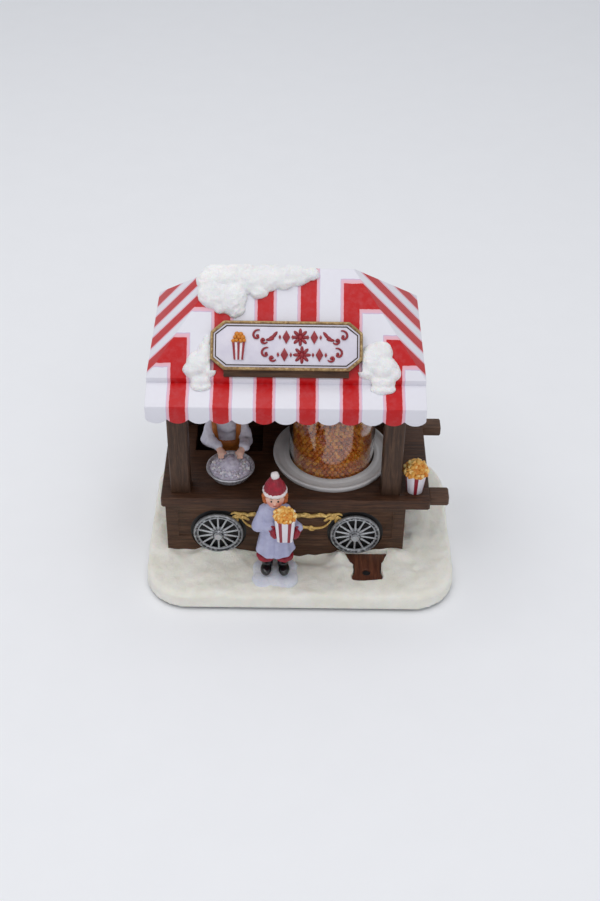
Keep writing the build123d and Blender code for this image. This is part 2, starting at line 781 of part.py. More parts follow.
def air_screen():
    """Perforated disc that keeps the popcorn out of the blower."""
    radius = housing_radius - housing_wall - fit
    disc = rod(dome_x, dome_y, counter_height - screen_thickness, counter_height, radius)
    reach = int(radius / screen_pitch)
    holes = []
    for column in range(-reach, reach + 1):
        for row in range(-reach, reach + 1):
            x = column * screen_pitch
            y = row * screen_pitch
            if hypot(x, y) < radius - screen_ledge - 1.5:
                holes.append(rod(dome_x + x, dome_y + y, counter_height - screen_thickness - 0.1,
                                 counter_height + 0.1, screen_hole_radius))
    return disc - holes


def motor():
    """Small round motor with its bearing boss and a blind bore for the shaft."""
    can = rod(dome_x, dome_y, motor_bottom, motor_top - fit, motor_radius)
    can = chamfer(can.edges().filter_by(GeomType.CIRCLE), 0.6)
    can += rod(dome_x, dome_y, motor_top - 0.2, motor_top + housing_wall + 0.3, motor_boss_radius)
    bore_low = motor_bottom + 3.0
    return can - rod(dome_x, dome_y, bore_low, motor_top + 4.0, motor_shaft_radius + running)


def motor_sleeve():
    """Sleeve that holds the motor under the housing floor."""
    outer = motor_radius + running + sleeve_wall
    flange = outer + 4.6
    points = [(motor_radius + running, motor_bottom + 3.0), (outer, motor_bottom + 3.0),
              (outer, motor_top - 1.4), (flange, motor_top - 1.4), (flange, motor_top),
              (motor_radius + running, motor_top)]
    sleeve = turned(points, dome_x, dome_y)
    for index in range(8):
        gap = Pos(14.0, 0, 0) * Box(5.4, 2.8, 4.0)
        sleeve -= Pos(dome_x, dome_y, motor_top - 0.7) * Rot(0, 0, index * 45 + 22.5) * gap
    return sleeve


shaft_low = motor_bottom + 3.4
impeller_low = motor_top + housing_wall + 1.2
impeller_high = impeller_low + impeller_disc + blade_height


def motor_shaft():
    """Steel shaft from the motor into the impeller."""
    return rod(dome_x, dome_y, shaft_low, impeller_high - 0.6, motor_shaft_radius)


def impeller():
    """Centrifugal fan: a disc with upright blades round a hub."""
    fan = rod(dome_x, dome_y, impeller_low, impeller_low + impeller_disc, impeller_radius)
    fan += rod(dome_x, dome_y, impeller_low, impeller_high, impeller_hub_radius)
    blade_length = impeller_radius - impeller_hub_radius - 2.6
    for index in range(blade_count):
        blade = Pos(impeller_radius - 0.6 - blade_length / 2, 0, 0) * Rot(0, 0, 18)
        blade = blade * Box(blade_length, blade_thickness, blade_height)
        turn = Rot(0, 0, index * 360 / blade_count)
        fan += Pos(dome_x, dome_y, impeller_low + impeller_disc + blade_height / 2) * turn * blade
    fan &= rod(dome_x, dome_y, impeller_low, impeller_high, impeller_radius)
    return fan - rod(dome_x, dome_y, impeller_low - 1, impeller_high - 0.6, motor_shaft_radius)


nodes["popper_dome"] = popper_dome()
nodes["popcorn_fill"] = popcorn_fill()
nodes["dome_dish"] = dome_dish()
nodes["blower_housing"] = blower_housing()
nodes["air_screen"] = air_screen()
nodes["motor"] = motor()
nodes["motor_sleeve"] = motor_sleeve()
nodes["motor_shaft"] = motor_shaft()
nodes["impeller"] = impeller()


# ---------------------------------------------------------------- batteries and switch

cell_pitch = 2 * cell_radius + cell_gap
cell_ys = [bay_y + (index - (cell_count - 1) / 2) * cell_pitch for index in range(cell_count)]


def battery_box():
    """Box over the cells; its flat top is the floor of the vendor's well."""
    outer = slab(bay_x - bay_length / 2 - box_wall, bay_x + bay_length / 2 + box_wall,
                 bay_y - bay_width / 2 - box_wall, bay_y + bay_width / 2 + box_wall, plate_top, box_top)
    inner = slab(bay_x - bay_length / 2, bay_x + bay_length / 2, bay_y - bay_width / 2,
                 bay_y + bay_width / 2, plate_top, box_top - box_wall)
    return outer - inner


def battery_cells():
    """Three AA cells, every second one turned round."""
    cells = []
    for index, y in enumerate(cell_ys):
        end = 1 if index % 2 == 0 else -1
        can = Cylinder(cell_radius - fit, cell_length - 1.2)
        tip = Pos(0, 0, cell_length / 2 - 0.6) * Cylinder(2.6, 1.2)
        cell = Pos(0, 0, -0.6) * can + tip
        cells.append(Pos(bay_x, y, cell_z) * Rot(0, 90 * end, 0) * cell)
    return group(*cells)


def battery_contacts():
    """Sprung contact plates at both ends of the bay."""
    plates = []
    for end in (-1, 1):
        for y in cell_ys:
            face = bay_x + end * bay_length / 2
            inner = face - end * 0.4
            plates.append(slab(min(face, inner), max(face, inner), y - contact_half, y + contact_half,
                               cell_z - contact_half, cell_z + contact_half))
            tip = inner - end * (contact_room - 0.4 - 0.05)
            spring = Cylinder(2.2, abs(tip - inner)) - Cylinder(1.6, abs(tip - inner))
            plates[-1] += Pos((tip + inner) / 2, y, cell_z) * Rot(0, 90, 0) * spring
    return group(*plates)


def battery_door():
    """Door in the plate, turning on two small pins at its back edge."""
    x_low, x_high, y_low, _ = door_edges()
    hinge_y, hinge_z = door_axis()
    half = door_thickness / 2
    door = slab(x_low + door_gap, x_high - door_gap, y_low + door_gap, hinge_y,
                hinge_z - half, hinge_z + half)
    length = bay_length - 2 * door_gap
    door += Pos(bay_x, hinge_y, hinge_z) * Rot(0, 90, 0) * Cylinder(half, length)
    reach = bay_length + 2 * door_pin_length
    door += Pos(bay_x, hinge_y, hinge_z) * Rot(0, 90, 0) * Cylinder(door_pin_radius, reach)
    for index in range(5):
        y = y_low + 4.0 + index * 1.6
        door -= slab(bay_x - 8, bay_x + 8, y, y + 0.7, hinge_z - half, hinge_z - half + 0.4)
    return door


def switch_body():
    """Slide switch behind the back panel, with a slot for its knob."""
    y_high = body_back - body_wall
    middle = switch_x + switch_travel / 2
    case = slab(middle - switch_length / 2, middle + switch_length / 2, y_high - switch_depth, y_high,
                switch_z - switch_height / 2, switch_z + switch_height / 2)
    half = (knob_length + switch_travel) / 2 + 0.1
    return case - slab(middle - half, middle + half, y_high - 2.2, y_high,
                       switch_z - knob_height / 2 - 0.1, switch_z + knob_height / 2 + 0.1)


def switch_knob():
    """Ribbed slider that stands a little proud of the back panel."""
    y_low = body_back - body_wall - 2.0
    y_high = body_back + knob_proud
    knob = slab(switch_x - knob_length / 2, switch_x + knob_length / 2, y_low, y_high,
                switch_z - knob_height / 2, switch_z + knob_height / 2)
    for offset in (-0.7, 0.0, 0.7):
        knob -= slab(switch_x + offset - 0.15, switch_x + offset + 0.15, y_high - 0.3, y_high,
                     switch_z - knob_height / 2, switch_z + knob_height / 2)
    return knob


def lead(points, start, stop):
    """Insulated wire along a smooth route, with the directions at its two ends."""
    route = Spline(*points, tangents=[start, stop])
    return sweep(Plane(origin=route @ 0, z_dir=route % 0) * Circle(lead_radius), path=route)


def leads():
    """Wires from the batteries to the switch, from the switch to the motor, and back."""
    down = (0, 0, -1)
    inward = (0, -1, 0)
    side = bay_x + bay_length / 2 + box_wall + fit
    switch_low = switch_z - switch_height / 2 - fit
    switch_y = body_back - body_wall - switch_depth / 2
    under = motor_bottom - lead_radius - 0.3
    to_switch = lead([(switch_x - 1.5, switch_y, switch_low), (switch_x - 1.2, switch_y, box_top + 2.0),
                      (switch_x - 1.5, switch_y - 1.6, box_top + fit)], down, down)
    to_motor = lead([(switch_x + 4.0, switch_y, switch_low - 0.5), (side, switch_y - 1.0, box_top + 2.4),
                     (side + 2.4, switch_y - 2.6, box_top - 3.0), (dome_x + 2.0, dome_y + 17.0, 9.0),
                     (dome_x + 3.0, dome_y + 2.0, under)], (0.6, 0, -0.8), inward)
    back = lead([(side, bay_y + 17.0, 12.0), (dome_x - 4.0, dome_y + 13.0, under + 1.0),
                 (dome_x - 3.0, dome_y + 2.0, under)], (1, 0, 0), inward)
    return group(to_switch, to_motor, back)


nodes["battery_box"] = battery_box()
nodes["battery_cells"] = battery_cells()
nodes["battery_contacts"] = battery_contacts()
nodes["battery_door"] = battery_door()
nodes["switch_body"] = switch_body()
nodes["switch_knob"] = switch_knob()
nodes["leads"] = leads()


# ---------------------------------------------------------------- figures and things on the counter

bowl_radius = 10.2
bowl_height = 6.4
bowl_lip_thickness = 0.6
bowl_x = vendor_x + 2.2
bowl_y = counter_front + bowl_radius + 4.0
bowl_rim_z = counter_height + bowl_height


def mixing_bowl():
    """Shallow metal bowl on the counter."""
    low = counter_height
    rim = bowl_rim_z
    lip = bowl_lip_thickness
    points = [(0, low), (5.0, low), (8.6, low + 2.6), (bowl_radius - lip, rim - lip),
              (bowl_radius, rim - lip), (bowl_radius, rim), (bowl_radius - 2 * lip, rim),
              (7.6, low + 3.4), (4.6, low + 1.0), (0, low + 1.0)]
    return turned(points, bowl_x, bowl_y)


def bowl_popcorn():
    """Heap of pale kernels in the bowl."""
    low = counter_height
    points = [(0, low + 1.1), (4.4, low + 1.1), (7.3, low + 3.5), (bowl_radius - 1.6, bowl_rim_z - 0.4),
              (5.0, bowl_rim_z + 0.2), (3.4, bowl_rim_z + 2.4), (0, bowl_rim_z + 3.2)]
    return turned(points, bowl_x, bowl_y)


def limb(joints, radii):
    """Round limb through three joints: a ball at each and a rod between."""
    arm = Pos(*joints[0]) * Sphere(radii[0])
    for start, stop, radius in zip(joints, joints[1:], radii):
        length = hypot(stop[0] - start[0], stop[1] - start[1], stop[2] - start[2])
        direction = tuple((b - a) / length for a, b in zip(start, stop))
        arm += Plane(origin=start, z_dir=direction) * Pos(0, 0, length / 2) * Cylinder(radius, length)
        arm += Pos(*stop) * Sphere(radius)
    return arm


def vendor_figure():
    """Vendor in the well, leaning over the counter with both hands above the bowl, cast as one."""
    x = vendor_x
    y = vendor_y
    floor = box_top
    waist = counter_height + 2.4
    figure = rod(x, y, floor, waist + 2.0, 6.6)
    figure += egg(x, y - 4.0, waist + 8.0, 7.6, 6.0, 9.0)
    for end in (-1, 1):
        shoulder = (x + end * 6.2, y - 6.0, waist + 11.6)
        elbow = (x + end * 8.4, y - 9.4, waist + 5.4)
        hand = (bowl_x + end * 4.4, bowl_y + 5.0, bowl_rim_z + 3.7)
        figure += limb((shoulder, elbow, hand), (2.6, 1.9))
    figure += rod(x, y - 5.0, waist + 14.0, waist + 18.5, 2.6)
    figure += egg(x, y - 6.0, waist + 21.0, 4.6, 4.9, 5.6)
    figure += rod(x, y - 5.6, waist + 24.0, waist + 30.0, 4.9)
    return figure


cup_wall = 0.6


def popcorn_cup(x, y, z, low_radius, high_radius, height):
    """Tapered carton with a solid floor."""
    wall = cup_wall
    points = [(0, z), (low_radius, z), (high_radius, z + height), (high_radius - wall, z + height),
              (low_radius - wall, z + wall), (0, z + wall)]
    return turned(points, x, y)


def cup_heap(x, y, z, low_radius, high_radius, height, heap):
    """Popcorn that fills a tapered carton and stands above its rim."""
    gap = cup_wall + fit
    inner_low = low_radius - gap
    inner_high = high_radius - gap
    rim = z + height
    points = [(0, z + gap), (inner_low, z + gap), (inner_high, rim), (inner_high, rim + 0.5 * heap),
              (inner_high * 0.6, rim + 0.9 * heap), (0, rim + heap)]
    return turned(points, x, y)


bucket_low_radius = 3.4
bucket_high_radius = 4.6
bucket_height = 10.4
bucket_heap = 6.4
bucket_x = counter_right - bucket_high_radius - 1.7
bucket_y = counter_front + bucket_high_radius + 3.0
bucket = (bucket_x, bucket_y, counter_height, bucket_low_radius, bucket_high_radius, bucket_height)

child_from_dome = 23.6
child_from_body = 12.3
child_x = dome_x - child_from_dome
child_y = body_front - child_from_body
pad_height = 1.6
pad_top = snow_height + pad_height
pad_length = 20.8
pad_depth = 20.4
pad_forward = 1.2
leg_radius = 2.6
leg_apart = 3.4
coat_low = pad_top + 11.8
coat_high = pad_top + 38.2
coat_hem_radius = 8.0
coat_hip_radius = 6.6
coat_chest_radius = 5.2
coat_neck_radius = 2.8
hat_radius = 4.6
hat_height = 8.2
bobble_radius = 1.6
sleeve_radius = 2.4
mitten_radius = 2.0
carton_low_radius = 3.4
carton_high_radius = 4.4
carton_height = 12.2
carton_heap = 2.6
carton_x = child_x + 4.2
carton_y = child_y - 8.6
carton_z = pad_top + 25.6
carton = (carton_x, carton_y, carton_z, carton_low_radius, carton_high_radius, carton_height)


def child_snow_pad():
    """Small snow mound under the child."""
    size = (pad_length / 2, pad_depth / 2, 2 * pad_height)
    pad = Pos(child_x, child_y - pad_forward, snow_height) * scale(Sphere(1), size)
    return pad & slab(child_x - pad_length, child_x + pad_length, child_y - pad_depth, child_y + pad_depth,
                      snow_height, pad_top)


def child_figure():
    """Child in a long coat and a bobble hat, holding a carton, cast as one."""
    x = child_x
    y = child_y
    figure = None
    for end in (-1, 1):
        leg = rod(x + end * leg_apart, y + 0.4, pad_top, coat_low + 2.0, leg_radius)
        leg += egg(x + end * leg_apart, y - 1.6, pad_top + 1.9, leg_radius, 4.2, 1.9)
        leg &= slab(x - pad_length, x + pad_length, y - pad_depth, y + pad_depth, pad_top, coat_low + 2.0)
        figure = leg if figure is None else figure + leg
    rise = (coat_high - coat_low) / 3
    coat = [(0, coat_low), (coat_hem_radius, coat_low), (coat_hip_radius, coat_low + rise),
            (coat_chest_radius, coat_low + 2 * rise), (coat_neck_radius, coat_high), (0, coat_high)]
    figure += turned(coat, x, y)
    for end in (-1, 1):
        shoulder = (x + end * 4.0, y, coat_high - 6.0)
        elbow = (x + end * 6.4, y - 2.0, coat_high - 13.0)
        hand = (carton_x + end * (carton_high_radius + 1.0), carton_y + 1.4, carton_z + 2.0)
        figure += limb((shoulder, elbow, hand), (sleeve_radius, mitten_radius))
    head_z = coat_high + 2.4
    figure += egg(x, y - 0.3, head_z, 4.1, 4.0, 4.2)
    brim_z = head_z + 1.4
    hat = [(0, brim_z), (hat_radius, brim_z), (hat_radius, brim_z + 2.0), (0.85 * hat_radius, brim_z + 2.4),
           (0.4 * hat_radius, brim_z + 0.88 * hat_height), (0, brim_z + hat_height)]
    figure += turned(hat, x, y)
    figure += Pos(x, y, brim_z + hat_height + 0.8 * bobble_radius) * Sphere(bobble_radius)
    cup = popcorn_cup(*carton)
    rim_z = carton_z + carton_height
    heap_room = carton_heap + 1.8
    room = turned([(0, carton_z - 2 * fit), (carton_low_radius + 2 * fit, carton_z - 2 * fit),
                   (carton_high_radius + 2 * fit, rim_z), (carton_high_radius, rim_z + heap_room),
                   (0, rim_z + heap_room)], carton_x, carton_y)
    return figure - room - cup


nodes["mixing_bowl"] = mixing_bowl()
nodes["bowl_popcorn"] = bowl_popcorn()
nodes["vendor_figure"] = vendor_figure()
nodes["shelf_bucket"] = popcorn_cup(*bucket)
nodes["bucket_popcorn"] = cup_heap(*bucket, bucket_heap)
nodes["child_snow_pad"] = child_snow_pad()
nodes["child_figure"] = child_figure()
nodes["child_carton"] = popcorn_cup(*carton)
nodes["carton_popcorn"] = cup_heap(*carton, carton_heap)


# ---------------------------------------------------------------- files

os.makedirs("parts", exist_ok=True)
for name, shape in nodes.items():
    shape.label = name
    export_step(shape, f"parts/{name}.step")
print(len(nodes), "nodes written")
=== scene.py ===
import json
import math
import random

import bpy
import numpy as np
from mathutils import Euler, Matrix, Vector, noise

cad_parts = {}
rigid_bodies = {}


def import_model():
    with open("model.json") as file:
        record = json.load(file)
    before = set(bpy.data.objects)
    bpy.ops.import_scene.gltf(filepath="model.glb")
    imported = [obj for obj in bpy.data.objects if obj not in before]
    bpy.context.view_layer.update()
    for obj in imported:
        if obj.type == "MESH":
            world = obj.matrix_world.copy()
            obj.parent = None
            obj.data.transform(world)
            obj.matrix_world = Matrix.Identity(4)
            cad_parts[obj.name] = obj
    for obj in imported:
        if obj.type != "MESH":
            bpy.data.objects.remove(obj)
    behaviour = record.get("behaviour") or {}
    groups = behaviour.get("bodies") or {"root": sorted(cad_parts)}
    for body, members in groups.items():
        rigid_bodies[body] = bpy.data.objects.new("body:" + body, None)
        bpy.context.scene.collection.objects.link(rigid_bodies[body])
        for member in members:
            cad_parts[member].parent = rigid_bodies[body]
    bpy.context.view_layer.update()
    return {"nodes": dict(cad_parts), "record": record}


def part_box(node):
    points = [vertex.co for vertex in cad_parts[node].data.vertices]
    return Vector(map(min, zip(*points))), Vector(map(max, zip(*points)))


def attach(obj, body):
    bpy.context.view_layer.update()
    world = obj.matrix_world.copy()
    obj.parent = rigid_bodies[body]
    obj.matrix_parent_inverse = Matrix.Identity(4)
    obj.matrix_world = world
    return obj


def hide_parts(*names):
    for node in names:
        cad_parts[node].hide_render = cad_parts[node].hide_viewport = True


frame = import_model()
nodes = frame["nodes"]
mm = 0.001
bpy.ops.object.select_all(action="DESELECT")
bpy.context.scene.view_settings.view_transform = "Standard"
print("frame loaded")


# camera, lights, floor

cameraSettings = {"place": (-0.0015, -0.4310, 0.4049), "pitch": 39.5, "yaw": 0.12, "roll": -0.79, "lens": 52.74}


def addCamera():
    pitch, yaw, roll = (math.radians(cameraSettings[key]) for key in ("pitch", "yaw", "roll"))
    forward = Vector((math.sin(yaw) * math.cos(pitch), math.cos(yaw) * math.cos(pitch), -math.sin(pitch)))
    side = Vector((math.cos(yaw), -math.sin(yaw), 0))
    down = forward.cross(side)
    right = side * math.cos(roll) + down * math.sin(roll)
    down = down * math.cos(roll) - side * math.sin(roll)
    bpy.ops.object.camera_add()
    camera = bpy.context.object
    camera.name = "standCamera"
    camera.data.lens = cameraSettings["lens"]
    camera.data.sensor_width = 36
    camera.data.clip_start = 0.01
    turn = Matrix((right, -down, -forward)).transposed().to_4x4()
    camera.matrix_world = Matrix.Translation(cameraSettings["place"]) @ turn
    bpy.context.scene.camera = camera


lightSettings = {
    "overhead": {"place": (-0.15, -0.05, 0.9), "aim": (0, 0.0, 0.03), "size": 0.9, "power": 3.8},
    "front": {"place": (0.35, -0.9, 0.75), "aim": (0, 0, 0.05), "size": 0.7, "power": 1.3},
    "sky": 0.56,
}


def addLights():
    for name in ("overhead", "front"):
        values = lightSettings[name]
        bpy.ops.object.light_add(type="AREA", location=values["place"])
        lamp = bpy.context.object
        lamp.name = name + "Softbox"
        lamp.data.size = values["size"]
        lamp.data.energy = values["power"]
        lamp.data.color = (1.0, 0.985, 0.97)
        lamp.rotation_euler = (Vector(values["aim"]) - lamp.location).to_track_quat("-Z", "Y").to_euler()
    world = bpy.data.worlds.new("studio")
    world.use_nodes = True
    world.node_tree.nodes["Background"].inputs["Color"].default_value = (0.93, 0.955, 1.0, 1)
    world.node_tree.nodes["Background"].inputs["Strength"].default_value = lightSettings["sky"]
    bpy.context.scene.world = world


# small tools for shaping

def alone(*pieces):
    if bpy.context.mode != "OBJECT":
        bpy.ops.object.mode_set(mode="OBJECT")
    bpy.ops.object.select_all(action="DESELECT")
    for piece in pieces:
        piece.select_set(True)
    bpy.context.view_layer.objects.active = pieces[0]


def fresh(name):  # the primitive just added, with its place put into its mesh
    piece = bpy.context.object
    piece.name = name
    bpy.ops.object.transform_apply(location=True, rotation=True, scale=True)
    return piece


def edit(piece, mode="FACE"):
    alone(piece)
    bpy.ops.object.mode_set(mode="EDIT")
    bpy.ops.mesh.select_mode(type=mode)
    bpy.ops.mesh.select_all(action="SELECT")


def done():
    bpy.ops.object.mode_set(mode="OBJECT")


def pickFaces(piece, test):  # test gets a face's middle in mm and its normal
    edit(piece)
    bpy.ops.mesh.select_all(action="DESELECT")
    done()
    for face in piece.data.polygons:
        face.select = bool(test(face.center / mm, face.normal))
    bpy.ops.object.mode_set(mode="EDIT")


def pickEdges(piece, test):  # test gets the two ends in mm
    edit(piece, "EDGE")
    bpy.ops.mesh.select_all(action="DESELECT")
    done()
    places = [vertex.co / mm for vertex in piece.data.vertices]
    for edge in piece.data.edges:
        edge.select = bool(test(places[edge.vertices[0]], places[edge.vertices[1]]))
    bpy.ops.object.mode_set(mode="EDIT")


def modify(piece, kind, **values):
    alone(piece)
    modifier = piece.modifiers.new(kind.title(), kind)
    for key, value in values.items():
        setattr(modifier, key, value)
    bpy.ops.object.modifier_apply(modifier=modifier.name)


def bevelled(piece, width, segments, angle=50, **values):
    modify(piece, "BEVEL", width=width * mm, segments=segments, limit_method="ANGLE",
           angle_limit=math.radians(angle), **values)


def cut(piece, cutter):
    modify(piece, "BOOLEAN", object=cutter, operation="DIFFERENCE", solver="EXACT")
    bpy.data.objects.remove(cutter)


def joined(name, pieces):
    alone(*pieces)
    if len(pieces) > 1:
        bpy.ops.object.join()
    piece = bpy.context.view_layer.objects.active
    piece.name = name
    return piece


def copied(piece, name):
    twin = bpy.data.objects.new(name, piece.data.copy())
    bpy.context.scene.collection.objects.link(twin)
    return twin


def moved(piece, matrix):
    piece.data.transform(matrix)
    piece.data.update()
    return piece


def shifted(piece, x, y, z):
    return moved(piece, Matrix.Translation(Vector((x, y, z)) * mm))


def spots(piece):
    flat = np.empty(len(piece.data.vertices) * 3)
    piece.data.vertices.foreach_get("co", flat)
    return flat.reshape(-1, 3) / mm


def outward(piece):
    flat = np.empty(len(piece.data.vertices) * 3)
    piece.data.vertex_normals.foreach_get("vector", flat)
    return flat.reshape(-1, 3)


def setSpots(piece, values):
    piece.data.vertices.foreach_set("co", (values * mm).ravel())
    piece.data.update()


def lumps(places, size, seed=0.0):  # smooth noise at each place, about -1 to 1
    shift = Vector((seed * 7.3, seed * 3.1, seed * 5.7))
    return np.array([noise.noise(Vector(place) / size + shift) for place in places])


def roughened(piece, *layers):  # layers are (height, size) in mm
    places = spots(piece)
    push = sum(height * lumps(places, size, seed=index + 1) for index, (height, size) in enumerate(layers))
    setSpots(piece, places + outward(piece) * push[:, None])
    return piece


def block(low, high, name="block"):
    middle = (Vector(low) + Vector(high)) / 2 * mm
    bpy.ops.mesh.primitive_cube_add(size=1, location=middle, scale=(Vector(high) - Vector(low)) * mm)
    return fresh(name)


def ball(place, size, turn=(0, 0, 0), detail=20):
    size = (size, size, size) if isinstance(size, (int, float)) else size
    bpy.ops.mesh.primitive_uv_sphere_add(segments=detail, ring_count=detail // 2, radius=mm, scale=size,
                                         location=Vector(place) * mm, rotation=[math.radians(a) for a in turn])
    return fresh("ball")


def limb(start, end, low, high, sides=20):
    start, end = Vector(start) * mm, Vector(end) * mm
    bpy.ops.mesh.primitive_cone_add(vertices=sides, radius1=low * mm, radius2=high * mm, depth=(end - start).length,
                                    location=(start + end) / 2,
                                    rotation=(end - start).to_track_quat("Z", "Y").to_euler())
    return fresh("limb")


def ring(place, radius, thickness, turn=(0, 0, 0), sides=(40, 12)):
    bpy.ops.mesh.primitive_torus_add(major_radius=radius * mm, minor_radius=thickness * mm, major_segments=sides[0],
                                     minor_segments=sides[1], location=Vector(place) * mm,
                                     rotation=[math.radians(a) for a in turn])
    return fresh("ring")


def plate(outline, low, high, name="plate"):  # flat outline pulled up to a slab
    bpy.ops.mesh.primitive_circle_add(vertices=len(outline), radius=mm, fill_type="NGON")
    piece = fresh(name)
    for vertex, (x, y) in zip(piece.data.vertices, outline):
        vertex.co = (x * mm, y * mm, low * mm)
    edit(piece)
    bpy.ops.mesh.extrude_region_move(TRANSFORM_OT_translate={"value": (0, 0, (high - low) * mm)})
    bpy.ops.mesh.select_all(action="SELECT")
    bpy.ops.mesh.normals_make_consistent(inside=False)
    done()
    return piece


def turned(name, profile, steps=64, centre=(0, 0)):  # (radius, height) points spun round an upright line
    bpy.ops.mesh.primitive_circle_add(vertices=len(profile), radius=mm)
    piece = fresh(name)
    for vertex, (radius, height) in zip(piece.data.vertices, profile):
        vertex.co = (radius * mm, 0, height * mm)
    edit(piece, "VERT")
    bpy.ops.mesh.spin(steps=steps, angle=math.tau, center=(0, 0, 0), axis=(0, 0, 1))
    bpy.ops.mesh.select_all(action="SELECT")
    bpy.ops.mesh.remove_doubles(threshold=1e-6)
    bpy.ops.mesh.delete_loose(use_faces=False)
    bpy.ops.mesh.select_all(action="SELECT")
    bpy.ops.mesh.normals_make_consistent(inside=False)
    done()
    return shifted(piece, centre[0], centre[1], 0)


def melted(name, pieces, voxel, rounds=4):  # overlapping shapes grown into one skin
    piece = joined(name, pieces)
    modify(piece, "REMESH", mode="VOXEL", voxel_size=voxel * mm)
    if rounds:
        modify(piece, "SMOOTH", factor=0.5, iterations=rounds)
    return piece


def wire(points, thickness, ends=0.4):  # tapered round stroke through points
    curve = bpy.data.curves.new("wire", "CURVE")
    curve.dimensions = "3D"
    curve.bevel_depth = thickness * mm
    curve.bevel_resolution = 3
    curve.resolution_u = 6
    curve.use_fill_caps = True
    line = curve.splines.new("NURBS")
    line.points.add(len(points) - 1)
    for index, (point, place) in enumerate(zip(line.points, points)):
        point.co = (*(Vector(place) * mm), 1)
        along = index / (len(points) - 1)
        point.radius = ends + (1 - ends) * math.sin(math.pi * along) ** 0.5
    line.order_u = 3
    line.use_endpoint_u = True
    piece = bpy.data.objects.new("wire", curve)
    bpy.context.scene.collection.objects.link(piece)
    alone(piece)
    bpy.ops.object.convert(target="MESH")
    return bpy.context.object


def softened(node, width=0.3, angle=30, segments=2):  # the CAD shape with its hard edges rounded over
    piece = copied(nodes[node], node + "Soft")
    edit(piece, "VERT")
    bpy.ops.mesh.remove_doubles(threshold=2e-6)
    bpy.ops.mesh.dissolve_limited(angle_limit=math.radians(0.6))
    done()
    alone(piece)
    bpy.ops.mesh.customdata_custom_splitnormals_clear()
    bevelled(piece, width, segments, angle, use_clamp_overlap=True, miter_outer="MITER_ARC")
    return piece


def finish(piece, material, slot, *replaced, angle=180):
    piece.data.materials.clear()
    piece.data.materials.append(material)
    alone(piece)
    if angle >= 180:
        bpy.ops.object.shade_smooth()
    else:
        bpy.ops.object.shade_smooth_by_angle(angle=math.radians(angle))
    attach(piece, "cart")
    if replaced:
        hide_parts(*replaced)
    return piece


# small tools for materials

def rgb(red, green, blue):
    parts = [value / 255 for value in (red, green, blue)]
    return [part / 12.92 if part < 0.04045 else ((part + 0.055) / 1.055) ** 2.4 for part in parts] + [1]


def surface(name, **values):
    material = bpy.data.materials.new(name)
    material.use_nodes = True
    shader = material.node_tree.nodes["Principled BSDF"]
    for key, value in values.items():
        shader.inputs[key.replace("_", " ")].default_value = value
    return material, material.node_tree, shader


def add(tree, kind, inputs=None, **values):
    made = tree.nodes.new("ShaderNode" + kind)
    for key, value in values.items():
        setattr(made, key, value)
    for key, value in (inputs or {}).items():
        if isinstance(value, bpy.types.NodeSocket):
            tree.links.new(value, made.inputs[key])
        else:
            made.inputs[key].default_value = value
    return made


def where(tree, scale=(1, 1, 1)):  # object place in mm
    source = add(tree, "TexCoord").outputs["Object"]
    return add(tree, "Mapping", {"Vector": source, "Scale": [part / mm for part in scale]}).outputs["Vector"]


def grainy(tree, place, scale, detail=3.0, roughness=0.55, distortion=0.0):
    values = {"Vector": place, "Scale": scale, "Detail": detail, "Roughness": roughness, "Distortion": distortion}
    return add(tree, "TexNoise", values).outputs["Fac"]


def calc(tree, operation, first, second=0.0, third=0.0):
    return add(tree, "Math", {0: first, 1: second, 2: third}, operation=operation).outputs[0]


def ramp(tree, value, *stops):
    made = add(tree, "ValToRGB", {"Fac": value})
    while len(made.color_ramp.elements) < len(stops):
        made.color_ramp.elements.new(0.5)
    for element, (place, colour) in zip(made.color_ramp.elements, stops):
        element.position = place
        element.color = colour if isinstance(colour, (list, tuple)) else (colour, colour, colour, 1)
    return made.outputs["Color"]


def blended(tree, share, first, second):
    return add(tree, "Mix", {0: share, 6: first, 7: second}, data_type="RGBA").outputs[2]


def relief(tree, height, depth, strength=1.0):
    values = {"Height": height, "Distance": depth * mm, "Strength": strength}
    return add(tree, "Bump", values).outputs["Normal"]


# hand-brushed paint: two close tones, uneven gloss, fine relief
def paint(name, colour, shade, rough=(0.35, 0.55), patch=0.25, grain=2.5, depth=0.05, **values):
    material, tree, shader = surface(name, **values)
    place = where(tree)
    broad = grainy(tree, place, patch, 4)
    fine = grainy(tree, place, grain, 3)
    mix = ramp(tree, broad, (0.3, 0.0), (0.7, 1.0))
    tone = blended(tree, mix, colour, shade)
    tone = blended(tree, ramp(tree, fine, (0.35, 0.0), (0.75, 0.35)), tone, shade)
    tree.links.new(tone, shader.inputs["Base Color"])
    gloss = add(tree, "MapRange", {"Value": fine, "To Min": rough[0], "To Max": rough[1]}).outputs[0]
    tree.links.new(gloss, shader.inputs["Roughness"])
    tree.links.new(relief(tree, fine, depth), shader.inputs["Normal"])
    return material


# materials

